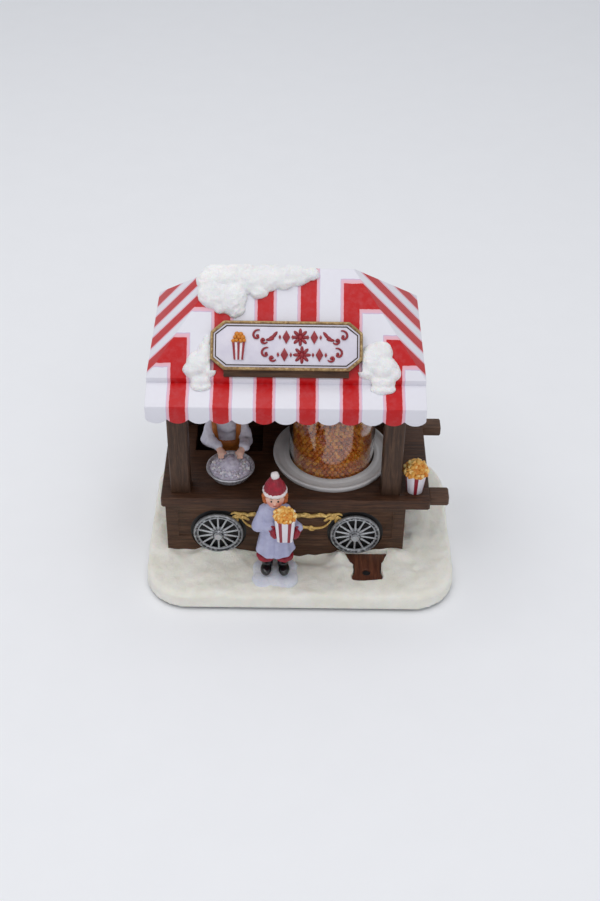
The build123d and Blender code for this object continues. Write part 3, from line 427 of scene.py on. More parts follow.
def snowFinish(name, colour, shade, sparkle=0.5):
    material, tree, shader = surface(name, Roughness=0.6, Subsurface_Weight=0.15, Subsurface_Scale=0.001)
    place = where(tree)
    broad = grainy(tree, place, 0.12, 5)
    tone = blended(tree, ramp(tree, broad, (0.35, 0.0), (0.65, 1.0)), colour, shade)
    flakes = add(tree, "TexVoronoi", {"Vector": place, "Scale": 2.6})
    tint = add(tree, "SeparateColor", {"Color": flakes.outputs["Color"]})
    hue = add(tree, "CombineColor", {0: tint.outputs[0], 1: 0.22, 2: 1.0}, mode="HSV").outputs[0]
    bright = calc(tree, "GREATER_THAN", tint.outputs[1], 1 - 0.34 * sparkle)
    close = calc(tree, "LESS_THAN", flakes.outputs["Distance"], 0.34)
    glint = calc(tree, "MULTIPLY", bright, close)
    tree.links.new(blended(tree, calc(tree, "MULTIPLY", glint, 0.75), tone, hue), shader.inputs["Base Color"])
    tree.links.new(calc(tree, "MULTIPLY_ADD", glint, -0.42, 0.6), shader.inputs["Roughness"])
    fine = grainy(tree, place, 1.6, 5, 0.65)
    height = calc(tree, "MULTIPLY_ADD", tint.outputs[2], 0.45, fine)
    tree.links.new(relief(tree, height, 0.34, 1.0), shader.inputs["Normal"])
    return material


groundSnow = snowFinish("groundSnow", rgb(253, 250, 240), rgb(244, 241, 228), 0.8)
roofSnow = snowFinish("roofSnow", rgb(254, 253, 253), rgb(242, 242, 244), 0.9)
padSnow = snowFinish("padSnow", rgb(236, 237, 244), rgb(216, 220, 234), 0.5)

# outline is the width of the painted groove shade just outside each stripe's border
stripeSettings = {"count": 13, "core": 0.37, "sideMiddle": 7.65, "sidePitch": 15.3, "sideHalf": 3.5,
                  "border": 0.95, "outline": 0.3}


# red and white stripes; the outer ones turn a square corner on the front and back slopes and run down the ends
def stripedCanvas():
    low, high = (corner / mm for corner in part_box("roof_shell"))
    material, tree, shader = surface("stripedCanvas", Roughness=0.36, Specular_IOR_Level=0.3)
    place = where(tree)
    axes = add(tree, "SeparateXYZ", {"Vector": place})
    x, y = axes.outputs[0], axes.outputs[1]
    s = stripeSettings
    pitch = (high.x - low.x) / s["count"]
    half = pitch * s["core"]
    fromSide = calc(tree, "MINIMUM", calc(tree, "SUBTRACT", x, low.x), calc(tree, "SUBTRACT", high.x, x))
    fromEave = calc(tree, "MINIMUM", calc(tree, "SUBTRACT", y, low.y), calc(tree, "SUBTRACT", high.y, y))

    def band(value, middle, reach):
        return calc(tree, "SUBTRACT", reach, calc(tree, "ABSOLUTE", calc(tree, "SUBTRACT", value, middle)))

    inside = band(fromSide, 5.5 * pitch, half)
    for number in (0, 1):
        column = (1.5 + 2 * number) * pitch
        row = s["sideMiddle"] + s["sidePitch"] * number
        rising = calc(tree, "MINIMUM", band(fromSide, column, half),
                      calc(tree, "SUBTRACT", row + s["sideHalf"], fromEave))
        turning = calc(tree, "MINIMUM", band(fromEave, row, s["sideHalf"]),
                       calc(tree, "SUBTRACT", column + half, fromSide))
        inside = calc(tree, "MAXIMUM", inside, calc(tree, "MAXIMUM", rising, turning))
    wobble = calc(tree, "MULTIPLY_ADD", grainy(tree, place, 0.5, 2), 0.4, -0.2)
    inside = calc(tree, "ADD", inside, wobble)
    level = calc(tree, "MULTIPLY_ADD", inside, 0.25, 0.5)  # four mm either way
    edge = 0.5 - s["border"] / 4
    far = edge - s["outline"] / 4
    red, white = rgb(192, 14, 18), rgb(229, 228, 236)
    # the thin lilac line just outside each stripe's pink border is painted shade of the groove there
    tone = ramp(tree, level, (0.0, white), (far - 0.012, white), (far, rgb(198, 186, 216)), (edge, rgb(228, 184, 200)),
                (0.485, rgb(232, 176, 186)), (0.505, red), (1.0, red))
    wearAndEdgeHighlight = grainy(tree, place, 0.35, 5, 0.6)
    tone = blended(tree, ramp(tree, wearAndEdgeHighlight, (0.45, 0.0), (0.8, 0.08)), tone, rgb(206, 190, 202))
    tree.links.new(tone, shader.inputs["Base Color"])
    fine = grainy(tree, place, 3.0, 4)
    tree.links.new(add(tree, "MapRange", {"Value": wearAndEdgeHighlight, "To Min": 0.25, "To Max": 0.5}).outputs[0],
                   shader.inputs["Roughness"])
    painted = ramp(tree, level, (0.46, 0.0), (0.52, 1.0))
    height = calc(tree, "MULTIPLY_ADD", painted, 0.6, fine)
    tree.links.new(relief(tree, height, 0.06), shader.inputs["Normal"])
    return material


# dark brown paint over moulded wood grain that runs along one axis, with a painted highlight on the rounded edges
def brownWood(name, along, colour, dark, pale):
    material, tree, shader = surface(name, Roughness=0.45, Specular_IOR_Level=0.28)
    stretch = [1.0, 1.0, 1.0]
    stretch["xyz".index(along)] = 0.07
    place = where(tree, scale=stretch)
    if along == "x":  # the end panels run across
        facing = add(tree, "SeparateXYZ", {"Vector": add(tree, "NewGeometry").outputs["Normal"]}).outputs[0]
        ends = calc(tree, "GREATER_THAN", calc(tree, "ABSOLUTE", facing), 0.7)
        place = blended(tree, ends, place, where(tree, scale=(1.0, 0.07, 1.0)))
    wave = grainy(tree, place, 0.9, 5, 0.62, 0.6)
    hair = grainy(tree, place, 3.4, 3, 0.6)
    tone = ramp(tree, wave, (0.28, dark), (0.5, colour), (0.74, pale))
    tone = blended(tree, ramp(tree, hair, (0.42, 0.0), (0.62, 0.4)), tone, dark)
    cloud = grainy(tree, where(tree), 0.09, 3)
    tone = blended(tree, ramp(tree, cloud, (0.35, 0.0), (0.7, 0.35)), tone, dark)
    # painted highlight: the rounded edges, found with the Bevel node, are lightened towards pale brown
    rounded = add(tree, "Bevel", {"Radius": 0.45 * mm}, samples=4).outputs[0]
    flat = add(tree, "NewGeometry").outputs["Normal"]
    match = add(tree, "VectorMath", {0: rounded, 1: flat}, operation="DOT_PRODUCT").outputs["Value"]
    wearAndEdgeHighlight = calc(tree, "MULTIPLY", ramp(tree, match, (0.8, 0.5), (0.985, 0.0)), wave)
    tone = blended(tree, wearAndEdgeHighlight, tone, rgb(158, 124, 100))
    height = calc(tree, "MULTIPLY_ADD", hair, 0.5, wave)
    tree.links.new(tone, shader.inputs["Base Color"])
    tree.links.new(add(tree, "MapRange", {"Value": wave, "To Min": 0.36, "To Max": 0.6}).outputs[0],
                   shader.inputs["Roughness"])
    tree.links.new(relief(tree, height, 0.22), shader.inputs["Normal"])
    return material


bodyWood = brownWood("bodyWood", "x", rgb(86, 58, 41), rgb(48, 32, 22), rgb(114, 83, 62))
postWood = brownWood("postWood", "z", rgb(82, 59, 45), rgb(50, 35, 26), rgb(108, 81, 63))
# counterWood is a little darker than bodyWood: painted shade from the roof over the counter
counterWood = brownWood("counterWood", "x", rgb(78, 49, 33), rgb(42, 26, 17), rgb(106, 73, 52))
# wallWood's near-black brown is painted shade of the dark interior behind the counter
wallWood = brownWood("wallWood", "z", rgb(24, 16, 12), rgb(12, 8, 6), rgb(38, 26, 20))
shaftWood = brownWood("shaftWood", "x", rgb(96, 68, 51), rgb(60, 42, 31), rgb(122, 92, 72))
plankWood = brownWood("plankWood", "y", rgb(98, 54, 36), rgb(58, 32, 23), rgb(134, 84, 58))


# cast metal paint with a dark wash left in the low places; the sharp raised edges are lighter, partly dry-brushed paint
# and partly a painted highlight
def washedMetal(name, colour, bright, wash, metallic=0.75):
    material, tree, shader = surface(name, Metallic=metallic)
    place = where(tree)
    spotty = grainy(tree, place, 0.8, 4, 0.6)
    fine = grainy(tree, place, 4.5, 3)
    point = add(tree, "NewGeometry").outputs["Pointiness"]
    tone = ramp(tree, spotty, (0.3, wash), (0.5, colour), (0.72, bright))
    tone = blended(tree, ramp(tree, point, (0.42, 1.0), (0.5, 0.0)), tone, wash)
    # lighter on sharp raised edges: partly dry-brushed paint, partly a painted highlight
    tone = blended(tree, ramp(tree, point, (0.52, 0.0), (0.6, 0.85)), tone, bright)
    tree.links.new(tone, shader.inputs["Base Color"])
    tree.links.new(add(tree, "MapRange", {"Value": fine, "To Min": 0.28, "To Max": 0.5}).outputs[0],
                   shader.inputs["Roughness"])
    tree.links.new(relief(tree, fine, 0.07), shader.inputs["Normal"])
    return material


wheelSilver = washedMetal("wheelSilver", rgb(60, 61, 65), rgb(206, 208, 212), rgb(18, 18, 20), 0.5)
goldLeaf = washedMetal("goldLeaf", rgb(206, 158, 76), rgb(250, 218, 140), rgb(104, 68, 32), 0.3)
mouldingGold = washedMetal("mouldingGold", rgb(142, 112, 70), rgb(196, 170, 122), rgb(92, 66, 42), 0.5)
bowlSilver = washedMetal("bowlSilver", rgb(196, 196, 202), rgb(232, 232, 236), rgb(120, 118, 128), 0.7)


def clearPlastic():
    material, tree, shader = surface("clearPlastic", Base_Color=rgb(250, 250, 250), Transmission_Weight=1.0, IOR=1.62,
                                     Roughness=0.03)
    place = where(tree)
    waves = grainy(tree, place, 0.07, 2)
    tree.links.new(relief(tree, waves, 0.12, 0.3), shader.inputs["Normal"])
    clear = add(tree, "BsdfTransparent", {"Color": (0.96, 0.96, 0.96, 1)}).outputs[0]
    shade = add(tree, "LightPath").outputs["Is Shadow Ray"]
    mixedIn = add(tree, "MixShader", {0: shade, 1: shader.outputs[0], 2: clear}).outputs[0]
    tree.links.new(mixedIn, tree.nodes["Material Output"].inputs["Surface"])
    return material


# small round or puffed grains: each carries its own tone
def grainFinish(name, *tones, rough=0.35, glow=0.1):
    material, tree, shader = surface(name, Roughness=rough, Subsurface_Weight=glow, Subsurface_Scale=0.001)
    place = where(tree)
    own = add(tree, "Attribute", attribute_name="ownTone").outputs["Fac"]
    stops = [(0.1 + 0.8 * index / (len(tones) - 1), tone) for index, tone in enumerate(tones)]
    tone = ramp(tree, own, *stops)
    fine = grainy(tree, place, 1.5, 4)
    tone = blended(tree, ramp(tree, fine, (0.5, 0.0), (0.8, 0.3)), tone, tones[-1])
    tree.links.new(tone, shader.inputs["Base Color"])
    tree.links.new(add(tree, "MapRange", {"Value": fine, "To Min": rough - 0.1, "To Max": rough + 0.15}).outputs[0],
                   shader.inputs["Roughness"])
    tree.links.new(relief(tree, fine, 0.1), shader.inputs["Normal"])
    return material


amberGrain = grainFinish("amberGrain", rgb(186, 90, 6), rgb(218, 126, 18), rgb(236, 158, 44), rough=0.3, glow=0.25)
# coreAmber is darker than the beads: painted shade of the deep gaps inside the pile
coreAmber = paint("coreAmber", rgb(112, 52, 12), rgb(84, 36, 8), (0.5, 0.7), 0.5, 1.0, 0.1)
goldCorn = grainFinish("goldCorn", rgb(208, 128, 34), rgb(230, 170, 76), rgb(246, 212, 140), rough=0.5)
creamCorn = grainFinish("creamCorn", rgb(230, 226, 236), rgb(206, 200, 216), rgb(242, 238, 240), rough=0.5)

dishPaint = paint("dishPaint", rgb(222, 220, 218), rgb(206, 204, 204), (0.4, 0.6), 0.15, 2.0, 0.06)
bowlCream = paint("bowlCream", rgb(222, 216, 228), rgb(196, 188, 208), (0.45, 0.65), 0.5, 2.0, 0.08)
signPaint = paint("signPaint", rgb(224, 220, 230), rgb(210, 205, 220), (0.4, 0.6), 0.2, 2.2, 0.03)
crimsonPaint = paint("crimsonPaint", rgb(158, 34, 44), rgb(128, 22, 36), (0.35, 0.5), 0.6, 3.0, 0.03)
hatRed = paint("hatRed", rgb(172, 22, 48), rgb(120, 12, 34), (0.25, 0.45), 0.5, 2.2, 0.07)
furWhite = paint("furWhite", rgb(240, 234, 232), rgb(222, 212, 214), (0.55, 0.75), 0.6, 2.4, 0.22)
coatLilac = paint("coatLilac", rgb(190, 192, 218), rgb(162, 163, 196), (0.4, 0.6), 0.25, 1.6, 0.06)
shirtWhite = paint("shirtWhite", rgb(228, 226, 234), rgb(198, 194, 212), (0.45, 0.65), 0.22, 1.8, 0.06)
apronOrange = paint("apronOrange", rgb(196, 118, 52), rgb(160, 88, 34), (0.35, 0.55), 0.4, 2.0, 0.05)
trouserGrey = paint("trouserGrey", rgb(70, 66, 76), rgb(48, 44, 54), (0.45, 0.65), 0.4, 2.0, 0.06)
bootBlack = paint("bootBlack", rgb(24, 24, 27), rgb(12, 12, 14), (0.12, 0.25), 0.6, 2.0, 0.04, Coat_Weight=0.5)
hairOrange = paint("hairOrange", rgb(206, 112, 44), rgb(164, 80, 28), (0.4, 0.6), 0.8, 2.6, 0.14)
hairBrown = paint("hairBrown", rgb(96, 66, 46), rgb(66, 44, 30), (0.4, 0.6), 0.8, 2.6, 0.14)
inkDark = paint("inkDark", rgb(48, 34, 34), rgb(30, 20, 22), (0.3, 0.45), 1.0, 3.0, 0.02)
lipRed = paint("lipRed", rgb(184, 62, 62), rgb(160, 44, 50), (0.35, 0.5), 1.0, 3.0, 0.02)
cartonWhite = paint("cartonWhite", rgb(238, 234, 238), rgb(220, 214, 224), (0.35, 0.5), 0.3, 2.0, 0.04)


def skinPaint(name, cheeks):  # cheeks are places in mm that blush
    material, tree, shader = surface(name, Roughness=0.5, Subsurface_Weight=0.1, Subsurface_Scale=0.0008)
    place = where(tree)
    fine = grainy(tree, place, 1.4, 3)
    tone = blended(tree, fine, rgb(238, 196, 176), rgb(226, 176, 156))
    for cheek in cheeks:
        gap = add(tree, "VectorMath", {0: place, 1: cheek}, operation="DISTANCE").outputs["Value"]
        tone = blended(tree, ramp(tree, calc(tree, "DIVIDE", gap, 3.0), (0.15, 0.75), (0.75, 0.0)), tone,
                       rgb(224, 130, 118))
    tree.links.new(tone, shader.inputs["Base Color"])
    tree.links.new(relief(tree, fine, 0.03), shader.inputs["Normal"])
    return material


darkPlastic = paint("darkPlastic", rgb(30, 29, 31), rgb(18, 17, 19), (0.4, 0.6), 0.2, 3.0, 0.05)
footRubber = paint("footRubber", rgb(44, 43, 44), rgb(30, 29, 30), (0.7, 0.85), 0.3, 2.5, 0.08)
plainSteel = paint("plainSteel", rgb(170, 172, 176), rgb(140, 142, 148), (0.22, 0.4), 0.3, 5.0, 0.03, Metallic=1.0)
brassPlate = paint("brassPlate", rgb(190, 156, 84), rgb(156, 122, 62), (0.25, 0.42), 0.4, 4.0, 0.03, Metallic=1.0)
fanWhite = paint("fanWhite", rgb(222, 222, 218), rgb(206, 206, 202), (0.35, 0.5), 0.2, 3.0, 0.03)
leadRed = paint("leadRed", rgb(168, 30, 28), rgb(140, 20, 22), (0.35, 0.5), 0.4, 3.0, 0.03)


def cellWrap():  # printed sleeve with a bare metal end
    low, high = (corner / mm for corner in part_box("battery_cells"))
    material, tree, shader = surface("cellWrap", Roughness=0.3)
    place = where(tree)
    x = add(tree, "SeparateXYZ", {"Vector": place}).outputs[0]
    share = calc(tree, "DIVIDE", calc(tree, "SUBTRACT", x, low.x), high.x - low.x)
    fine = grainy(tree, place, 2.0, 3)
    wrap = blended(tree, fine, rgb(34, 60, 58), rgb(28, 50, 50))
    ends = ramp(tree, share, (0.0, 1.0), (0.035, 1.0), (0.04, 0.0), (0.96, 0.0), (0.965, 1.0))
    band = ramp(tree, share, (0.24, 0.0), (0.25, 1.0), (0.3, 1.0), (0.31, 0.0))
    tone = blended(tree, band, wrap, rgb(184, 148, 84))
    tree.links.new(blended(tree, ends, tone, rgb(176, 178, 180)), shader.inputs["Base Color"])
    tree.links.new(ends, shader.inputs["Metallic"])
    tree.links.new(relief(tree, fine, 0.02), shader.inputs["Normal"])
    return material


def floorFinish():
    material, tree, shader = surface("paleFloor", Roughness=0.75)
    fine = grainy(tree, where(tree), 0.05, 4)
    tree.links.new(blended(tree, fine, rgb(240, 241, 244), rgb(243, 244, 247)), shader.inputs["Base Color"])
    return material


print("materials ready")


# snow base, plank, child's mound

snowSettings = {
    "corner": 19.0, "edge": 2.6, "voxel": 0.7, "bank": 1.2, "flange": 3,
    "pocketReach": 3.1, "pocketCorner": 5, "pocketTop": 4.7,
    "drifts": [(-3, -20.5, 17, 4.4, -3.7), (10, -25, 7, 4, -1.2), (16.0, -22.5, 4.0, 3.4, 4.4),
               (17.5, -28, 3.4, 5, 1.5),
               (41, -21, 6.5, 4.0, 2.8), (38.5, -27, 4, 4, 1.2), (-30, -20.5, 8, 2.6, 0.9), (-46, -22, 6, 4, 1.0),
               (49, -8, 5, 9, 1.8), (-61, -8, 5, 12, 1.0), (-12, -34, 12, 4, -0.8), (46, -33, 9, 5, 0.7)],
}


def snowBase():
    low, high = (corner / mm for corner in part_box("snow_base"))
    body = [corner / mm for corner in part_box("wagon_body")]
    s = snowSettings
    flange, pocketReach = s["flange"], s["pocketReach"]
    wall = (body[0].x + flange, body[1].x - flange, body[0].y + flange, body[1].y - flange)  # without its foot flange
    snow = plate(roundedOutline((low, high), s["corner"]), low.z, high.z, "snowBase")
    top = high.z - 0.01
    pickEdges(snow, lambda a, b: a.z > top and b.z > top)
    bpy.ops.mesh.bevel(offset=s["edge"] * mm, segments=5, affect="EDGES")
    done()
    modify(snow, "REMESH", mode="VOXEL", voxel_size=s["voxel"] * mm)
    places = spots(snow)
    flatness = np.clip((places[:, 2] - (high.z - s["edge"])) / s["edge"], 0, 1)
    gapX = np.maximum(np.maximum(wall[0] - places[:, 0], places[:, 0] - wall[1]), 0)
    gapY = np.maximum(np.maximum(wall[2] - places[:, 1], places[:, 1] - wall[3]), 0)
    gap = np.hypot(gapX, gapY)
    drift = 0.95 * lumps(places, 13, 1) + 0.6 * lumps(places, 5, 2) + 0.3 * lumps(places, 2.1, 3)
    bank = s["bank"] * np.exp(-gap / 2.2) * (0.25 + 1.9 * lumps(places, 6, 4))
    for x, y, wide, deep, rise in s["drifts"]:
        bank += rise * np.exp(-((places[:, 0] - x) / wide) ** 2 - ((places[:, 1] - y) / deep) ** 2)
    places[:, 2] += flatness * (drift + bank - 0.1)
    around = np.clip((places[:, 2] - low.z) / 2.5, 0, 1)
    sway = around * (0.35 * lumps(places, 11, 5) + 0.16 * lumps(places, 3.2, 6) - 0.15)
    ways = outward(snow).copy()
    ways[:, 2] = 0
    setSpots(snow, places + ways * sway[:, None])
    modify(snow, "SMOOTH", factor=0.4, iterations=2)
    cut(snow, block((wall[0] + 0.25, wall[2] + 0.25, 0), (wall[1] - 0.25, wall[3] - 0.25, 30)))
    pocket = (Vector((wall[0] - pocketReach, wall[2] - pocketReach, 0)),
              Vector((wall[1] + pocketReach, wall[3] + pocketReach, 0)))
    cut(snow, plate(roundedOutline(pocket, s["pocketCorner"]), 0, s["pocketTop"]))
    base = [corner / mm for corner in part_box("base_plate")]
    cut(snow, plate([(x * 0.999 + math.copysign(0.1, x), y * 0.999 + math.copysign(0.1, y))
                     for x, y in roundedOutline(base)], 0.5, base[1].z))
    cut(snow, plate([(x + 0.5 * noise.noise(Vector((x, y, 3)) / 2.0) + math.copysign(0.35, x - plankMiddle()), y - 0.2)
                     for x, y in dense(plankOutline())], 1.0, 20))
    finish(snow, groundSnow, "snow", "snow_base")


def roundedOutline(box, corner=17.6):
    outline = []
    for turn, x, y in ((0, box[1].x, box[1].y), (90, box[0].x, box[1].y), (180, box[0].x, box[0].y),
                       (270, box[1].x, box[0].y)):
        middle = (x - math.copysign(corner, x), y - math.copysign(corner, y))
        for step in range(9):
            angle = math.radians(turn + step * 90 / 8)
            outline.append((middle[0] + corner * math.cos(angle), middle[1] + corner * math.sin(angle)))
    return outline


def plankMiddle():
    low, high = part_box("path_plank")
    return (low.x + high.x) / 2 / mm


def plankOutline():  # flares where it meets the cart
    low, high = (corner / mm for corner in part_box("path_plank"))
    front, back = low.y, high.y + 0.3
    return [(low.x + 0.9, front), (high.x - 0.7, front), (high.x - 0.1, front + 1.0), (high.x + 0.1, front + 3.2),
            (high.x - 0.9, front + 6.4), (high.x - 0.3, front + 10.0), (high.x + 1.7, front + 13.4),
            (high.x + 2.4, back),
            (low.x - 3.4, back), (low.x - 1.6, front + 13.2), (low.x + 0.9, front + 10.0), (low.x + 1.3, front + 6.2),
            (low.x + 0.2, front + 3.6), (low.x, front + 1.2)]


def dense(outline, step=1.2):
    result = []
    for (x1, y1), (x2, y2) in zip(outline, outline[1:] + outline[:1]):
        count = max(1, round(math.hypot(x2 - x1, y2 - y1) / step))
        result += [(x1 + (x2 - x1) * i / count, y1 + (y2 - y1) * i / count) for i in range(count)]
    return result


def pathPlank():
    low, high = (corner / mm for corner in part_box("path_plank"))
    peg = next(m for m in frame["record"]["mounts"] if m["name"] == "plank_peg_hole")
    place = Vector(peg["pos_m"]) / mm
    board = plate(dense(plankOutline(), 1.6), low.z, high.z - 0.4, "pathPlank")
    bpy.ops.mesh.primitive_cylinder_add(vertices=48, radius=1.7 * mm, depth=5.6 * mm,
                                        location=Vector((place.x, place.y, high.z)) * mm)
    cut(board, fresh("peg"))
    bevelled(board, 0.35, 3)
    finish(board, plankWood, "plank_brown", "path_plank", angle=40)
    reach, floorLow, floorTop = 1.69, high.z - 1.5, high.z - 1.2
    shade = turned("pegHoleShade", [(0, floorLow), (reach, floorLow), (reach, floorTop), (0, floorTop)], 40,
                   (place.x, place.y))
    finish(shade, darkPlastic, "dark_plate", angle=40)


moundLumps = [  # place from the middle, detail, size
    (0, 0, -0.2, 32, 9.4, 9.0, 2.2), (-4.2, 3.2, 0, 20, 5.4, 5.4, 1.7), (4.4, -3.8, 0, 20, 5.6, 5.6, 1.7),
    (-4.4, -3.8, 0, 20, 5.4, 5.6, 1.6), (4.4, 3.2, 0, 20, 5.2, 5.4, 1.6),
]


def childMound():
    low, high = (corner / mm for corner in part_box("child_snow_pad"))
    middle = (low + high) / 2
    lumpsOfSnow = [ball((middle.x + x, middle.y + y, low.z + z), size, detail=detail)
                   for x, y, z, detail, *size in moundLumps]
    heap = melted("childMound", lumpsOfSnow, 0.4, 3)
    roughened(heap, (0.25, 4.0), (0.12, 1.3))
    cut(heap, block((middle.x - 20, middle.y - 20, low.z - 9), (middle.x + 20, middle.y + 20, low.z - 0.6)))
    finish(heap, padSnow, "snow", "child_snow_pad")


# roof, awning, sign, heaped snow

roofSettings = {"fascia": 2.3, "ridge": 52.4, "ridgeWidth": 1.0, "wall": 1.8}
roofLow, roofHigh = (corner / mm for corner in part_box("roof_shell"))
eaveTop = roofLow.z + roofSettings["fascia"]
roofMiddle = ((roofLow.x + roofHigh.x) / 2, (roofLow.y + roofHigh.y) / 2)
slope = math.atan2(roofHigh.z - eaveTop, (roofHigh.y - roofLow.y - roofSettings["ridgeWidth"]) / 2)


signAlong = 12.7  # its middle, up the slope from the eave


def onSlope(x=roofMiddle[0], along=0.0, lift=0.0):  # turns a piece drawn flat into the plane of the front slope
    place = Vector((x, roofLow.y + along * math.cos(slope) - lift * math.sin(slope),
                    eaveTop + along * math.sin(slope) + lift * math.cos(slope)))
    return Matrix.Translation(place * mm) @ Matrix.Rotation(slope, 4, "X")


def roofBlock(name="roofBlock"):
    r = roofSettings
    piece = block((roofLow.x, roofLow.y, roofLow.z), (roofHigh.x, roofHigh.y, eaveTop), name)
    pickFaces(piece, lambda middle, normal: normal.z > 0.9)
    bpy.ops.mesh.extrude_region_move(TRANSFORM_OT_translate={"value": (0, 0, (roofHigh.z - eaveTop) * mm)})
    bpy.ops.transform.resize(value=(r["ridge"] / (roofHigh.x - roofLow.x), r["ridgeWidth"] / (roofHigh.y - roofLow.y),
                                    1),
                             center_override=(roofMiddle[0] * mm, roofMiddle[1] * mm, roofHigh.z * mm))
    done()
    return piece


def stripedRoof(canvas):
    roof = roofBlock("stripedRoof")
    pickFaces(roof, lambda middle, normal: normal.z < -0.9)
    bpy.ops.mesh.delete(type="FACE")
    done()
    modify(roof, "SOLIDIFY", thickness=roofSettings["wall"] * mm, offset=-1, use_even_offset=True)
    bevelled(roof, 0.5, 3, 25)
    finish(roof, canvas, "striped_roof", "roof_shell", angle=40)
    awning = softened("awning", 0.32, 32, 2)
    finish(awning, canvas, "striped_roof", "awning", angle=40)


heapSettings = {  # dabs of snow: place along the roof, distance up the slope, size
    "roof_snow_ridge": [(-35.5, 33.5, 6.2, 6.4, 3.0), (-28.5, 32.5, 6.8, 7.6, 3.4), (-38.0, 38.5, 4.2, 4.6, 2.6),
                        (-31.0, 39.5, 8.6, 5.0, 3.2), (-22.0, 38.5, 7.0, 5.0, 3.1), (-26.5, 27.2, 3.8, 3.4, 2.2),
                        (-15.0, 39.0, 7.6, 4.6, 2.9), (-8.5, 40.0, 7.0, 4.6, 2.8), (-2.5, 40.6, 5.6, 3.8, 2.5),
                        (2.6, 41.6, 3.8, 2.8, 2.0), (-34, 42.6, 6, 3.0, 1.5), (-25, 42.6, 7, 3.0, 1.7),
                        (-14, 42.6, 7, 3.0, 1.6),
                        (-4, 42.8, 6, 2.8, 1.5), (-17.5, 34.6, 3.8, 3.2, 2.4), (-32.5, 28.4, 3.4, 3.0, 2.0)],
    "roof_snow_left": [(-40.6, 5.8, 5.0, 5.2, 3.3), (-37.6, 10.4, 3.6, 4.4, 2.8), (-43.4, 3.4, 3.8, 3.2, 2.4),
                       (-36.8, 3.4, 3.4, 3.0, 2.2), (-36.6, 14.6, 2.4, 2.8, 2.0), (-39.8, -0.6, 4.2, 2.6, 1.7)],
    "roof_snow_right": [(27.8, 8.0, 5.8, 6.4, 3.6), (31.8, 4.8, 5.8, 4.8, 3.1), (30.4, 11.2, 4.8, 4.4, 2.9),
                        (35.0, 2.6, 3.6, 2.8, 2.2), (25.0, 3.4, 3.6, 3.4, 2.4), (31.4, -0.8, 5.2, 2.8, 1.8)],
}


awningEdge = {"front": 93.2, "ahead": 93.3 - 3.0, "under": 60}  # heights of its upper face and a level below it


def underAwning():  # everything below the awning's upper face
    low, high = (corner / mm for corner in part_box("awning"))
    a = awningEdge
    inside = roofLow.y + 9
    piece = plate([(low.y - 1, a["ahead"]), (low.y - 1, a["under"]), (inside, a["under"]), (inside, roofLow.z),
                   (roofLow.y, roofLow.z), (low.y, a["front"])], low.x - 2, high.x + 2, "underAwning")
    return moved(piece, Matrix(((0, 0, 1, 0), (1, 0, 0, 0), (0, 1, 0, 0), (0, 0, 0, 1))))


def roofHeaps():
    for node, dabs in heapSettings.items():
        pieces = [moved(ball((0, 0, 0), size, detail=24), onSlope(x, along, 0.0))
                  for x, along, *size in dabs if along > 0]
        for x, along, *size in dabs:
            if along < 0:  # over the eave, on the awning
                pieces += [ball((x, roofLow.y + 2.4 * along, roofLow.z + 0.8 * along + 0.3), size, (18, 0, 0), 24),
                           ball((x, roofLow.y - 0.2, eaveTop - 0.6), (0.92 * size[0], 0.9 * size[1], 1.3 * size[2]),
                                detail=24)]
        heap = melted(node + "Heap", pieces, 0.45, 5)
        roughened(heap, (0.5, 3.6), (0.25, 1.5), (0.1, 0.7))
        cut(heap, roofBlock())
        if node != "roof_snow_ridge":
            sign = block((-29.6, -9.7, -1), (29.6, 9.7, 3.6))
            cut(heap, moved(sign, onSlope(roofMiddle[0], signAlong)))
            cut(heap, underAwning())
        finish(heap, roofSnow, "snow", node)


ornamentSettings = {"cartonX": -18.6, "rowHeights": (3.4, -3.5), "rowOne": (-12.8, 23.4), "rowTwo": (-9.4, 21.4)}


def lozenge(x, y, wide, tall):
    piece = plate([(x - wide, y), (x, y - tall), (x + wide, y), (x, y + tall)], 0.0, 0.5)
    bevelled(piece, 0.14, 2)
    return piece


def curl(x, y, size, side, start=0.0):  # flat spiral with a ball at its eye
    points = []
    for step in range(15):
        share = step / 14
        angle = start + share * 4.6
        reach = size * (1 - 0.78 * share)
        points.append((x + side * reach * math.cos(angle), y + reach * math.sin(angle), 0.2))
    return [wire(points, 0.46, ends=0.5), ball((x, y, 0.2), (0.62, 0.62, 0.45), detail=12)]


def rosette(x, y, size):
    petals = [ball((x + size * 0.62 * math.cos(k * math.pi / 4), y + size * 0.62 * math.sin(k * math.pi / 4), 0.1),
                   (size * 0.42, size * 0.2, 0.42), turn=(0, 0, k * 45), detail=12) for k in range(8)]
    return petals + [ball((x, y, 0.2), (size * 0.26, size * 0.26, 0.5), detail=12)]


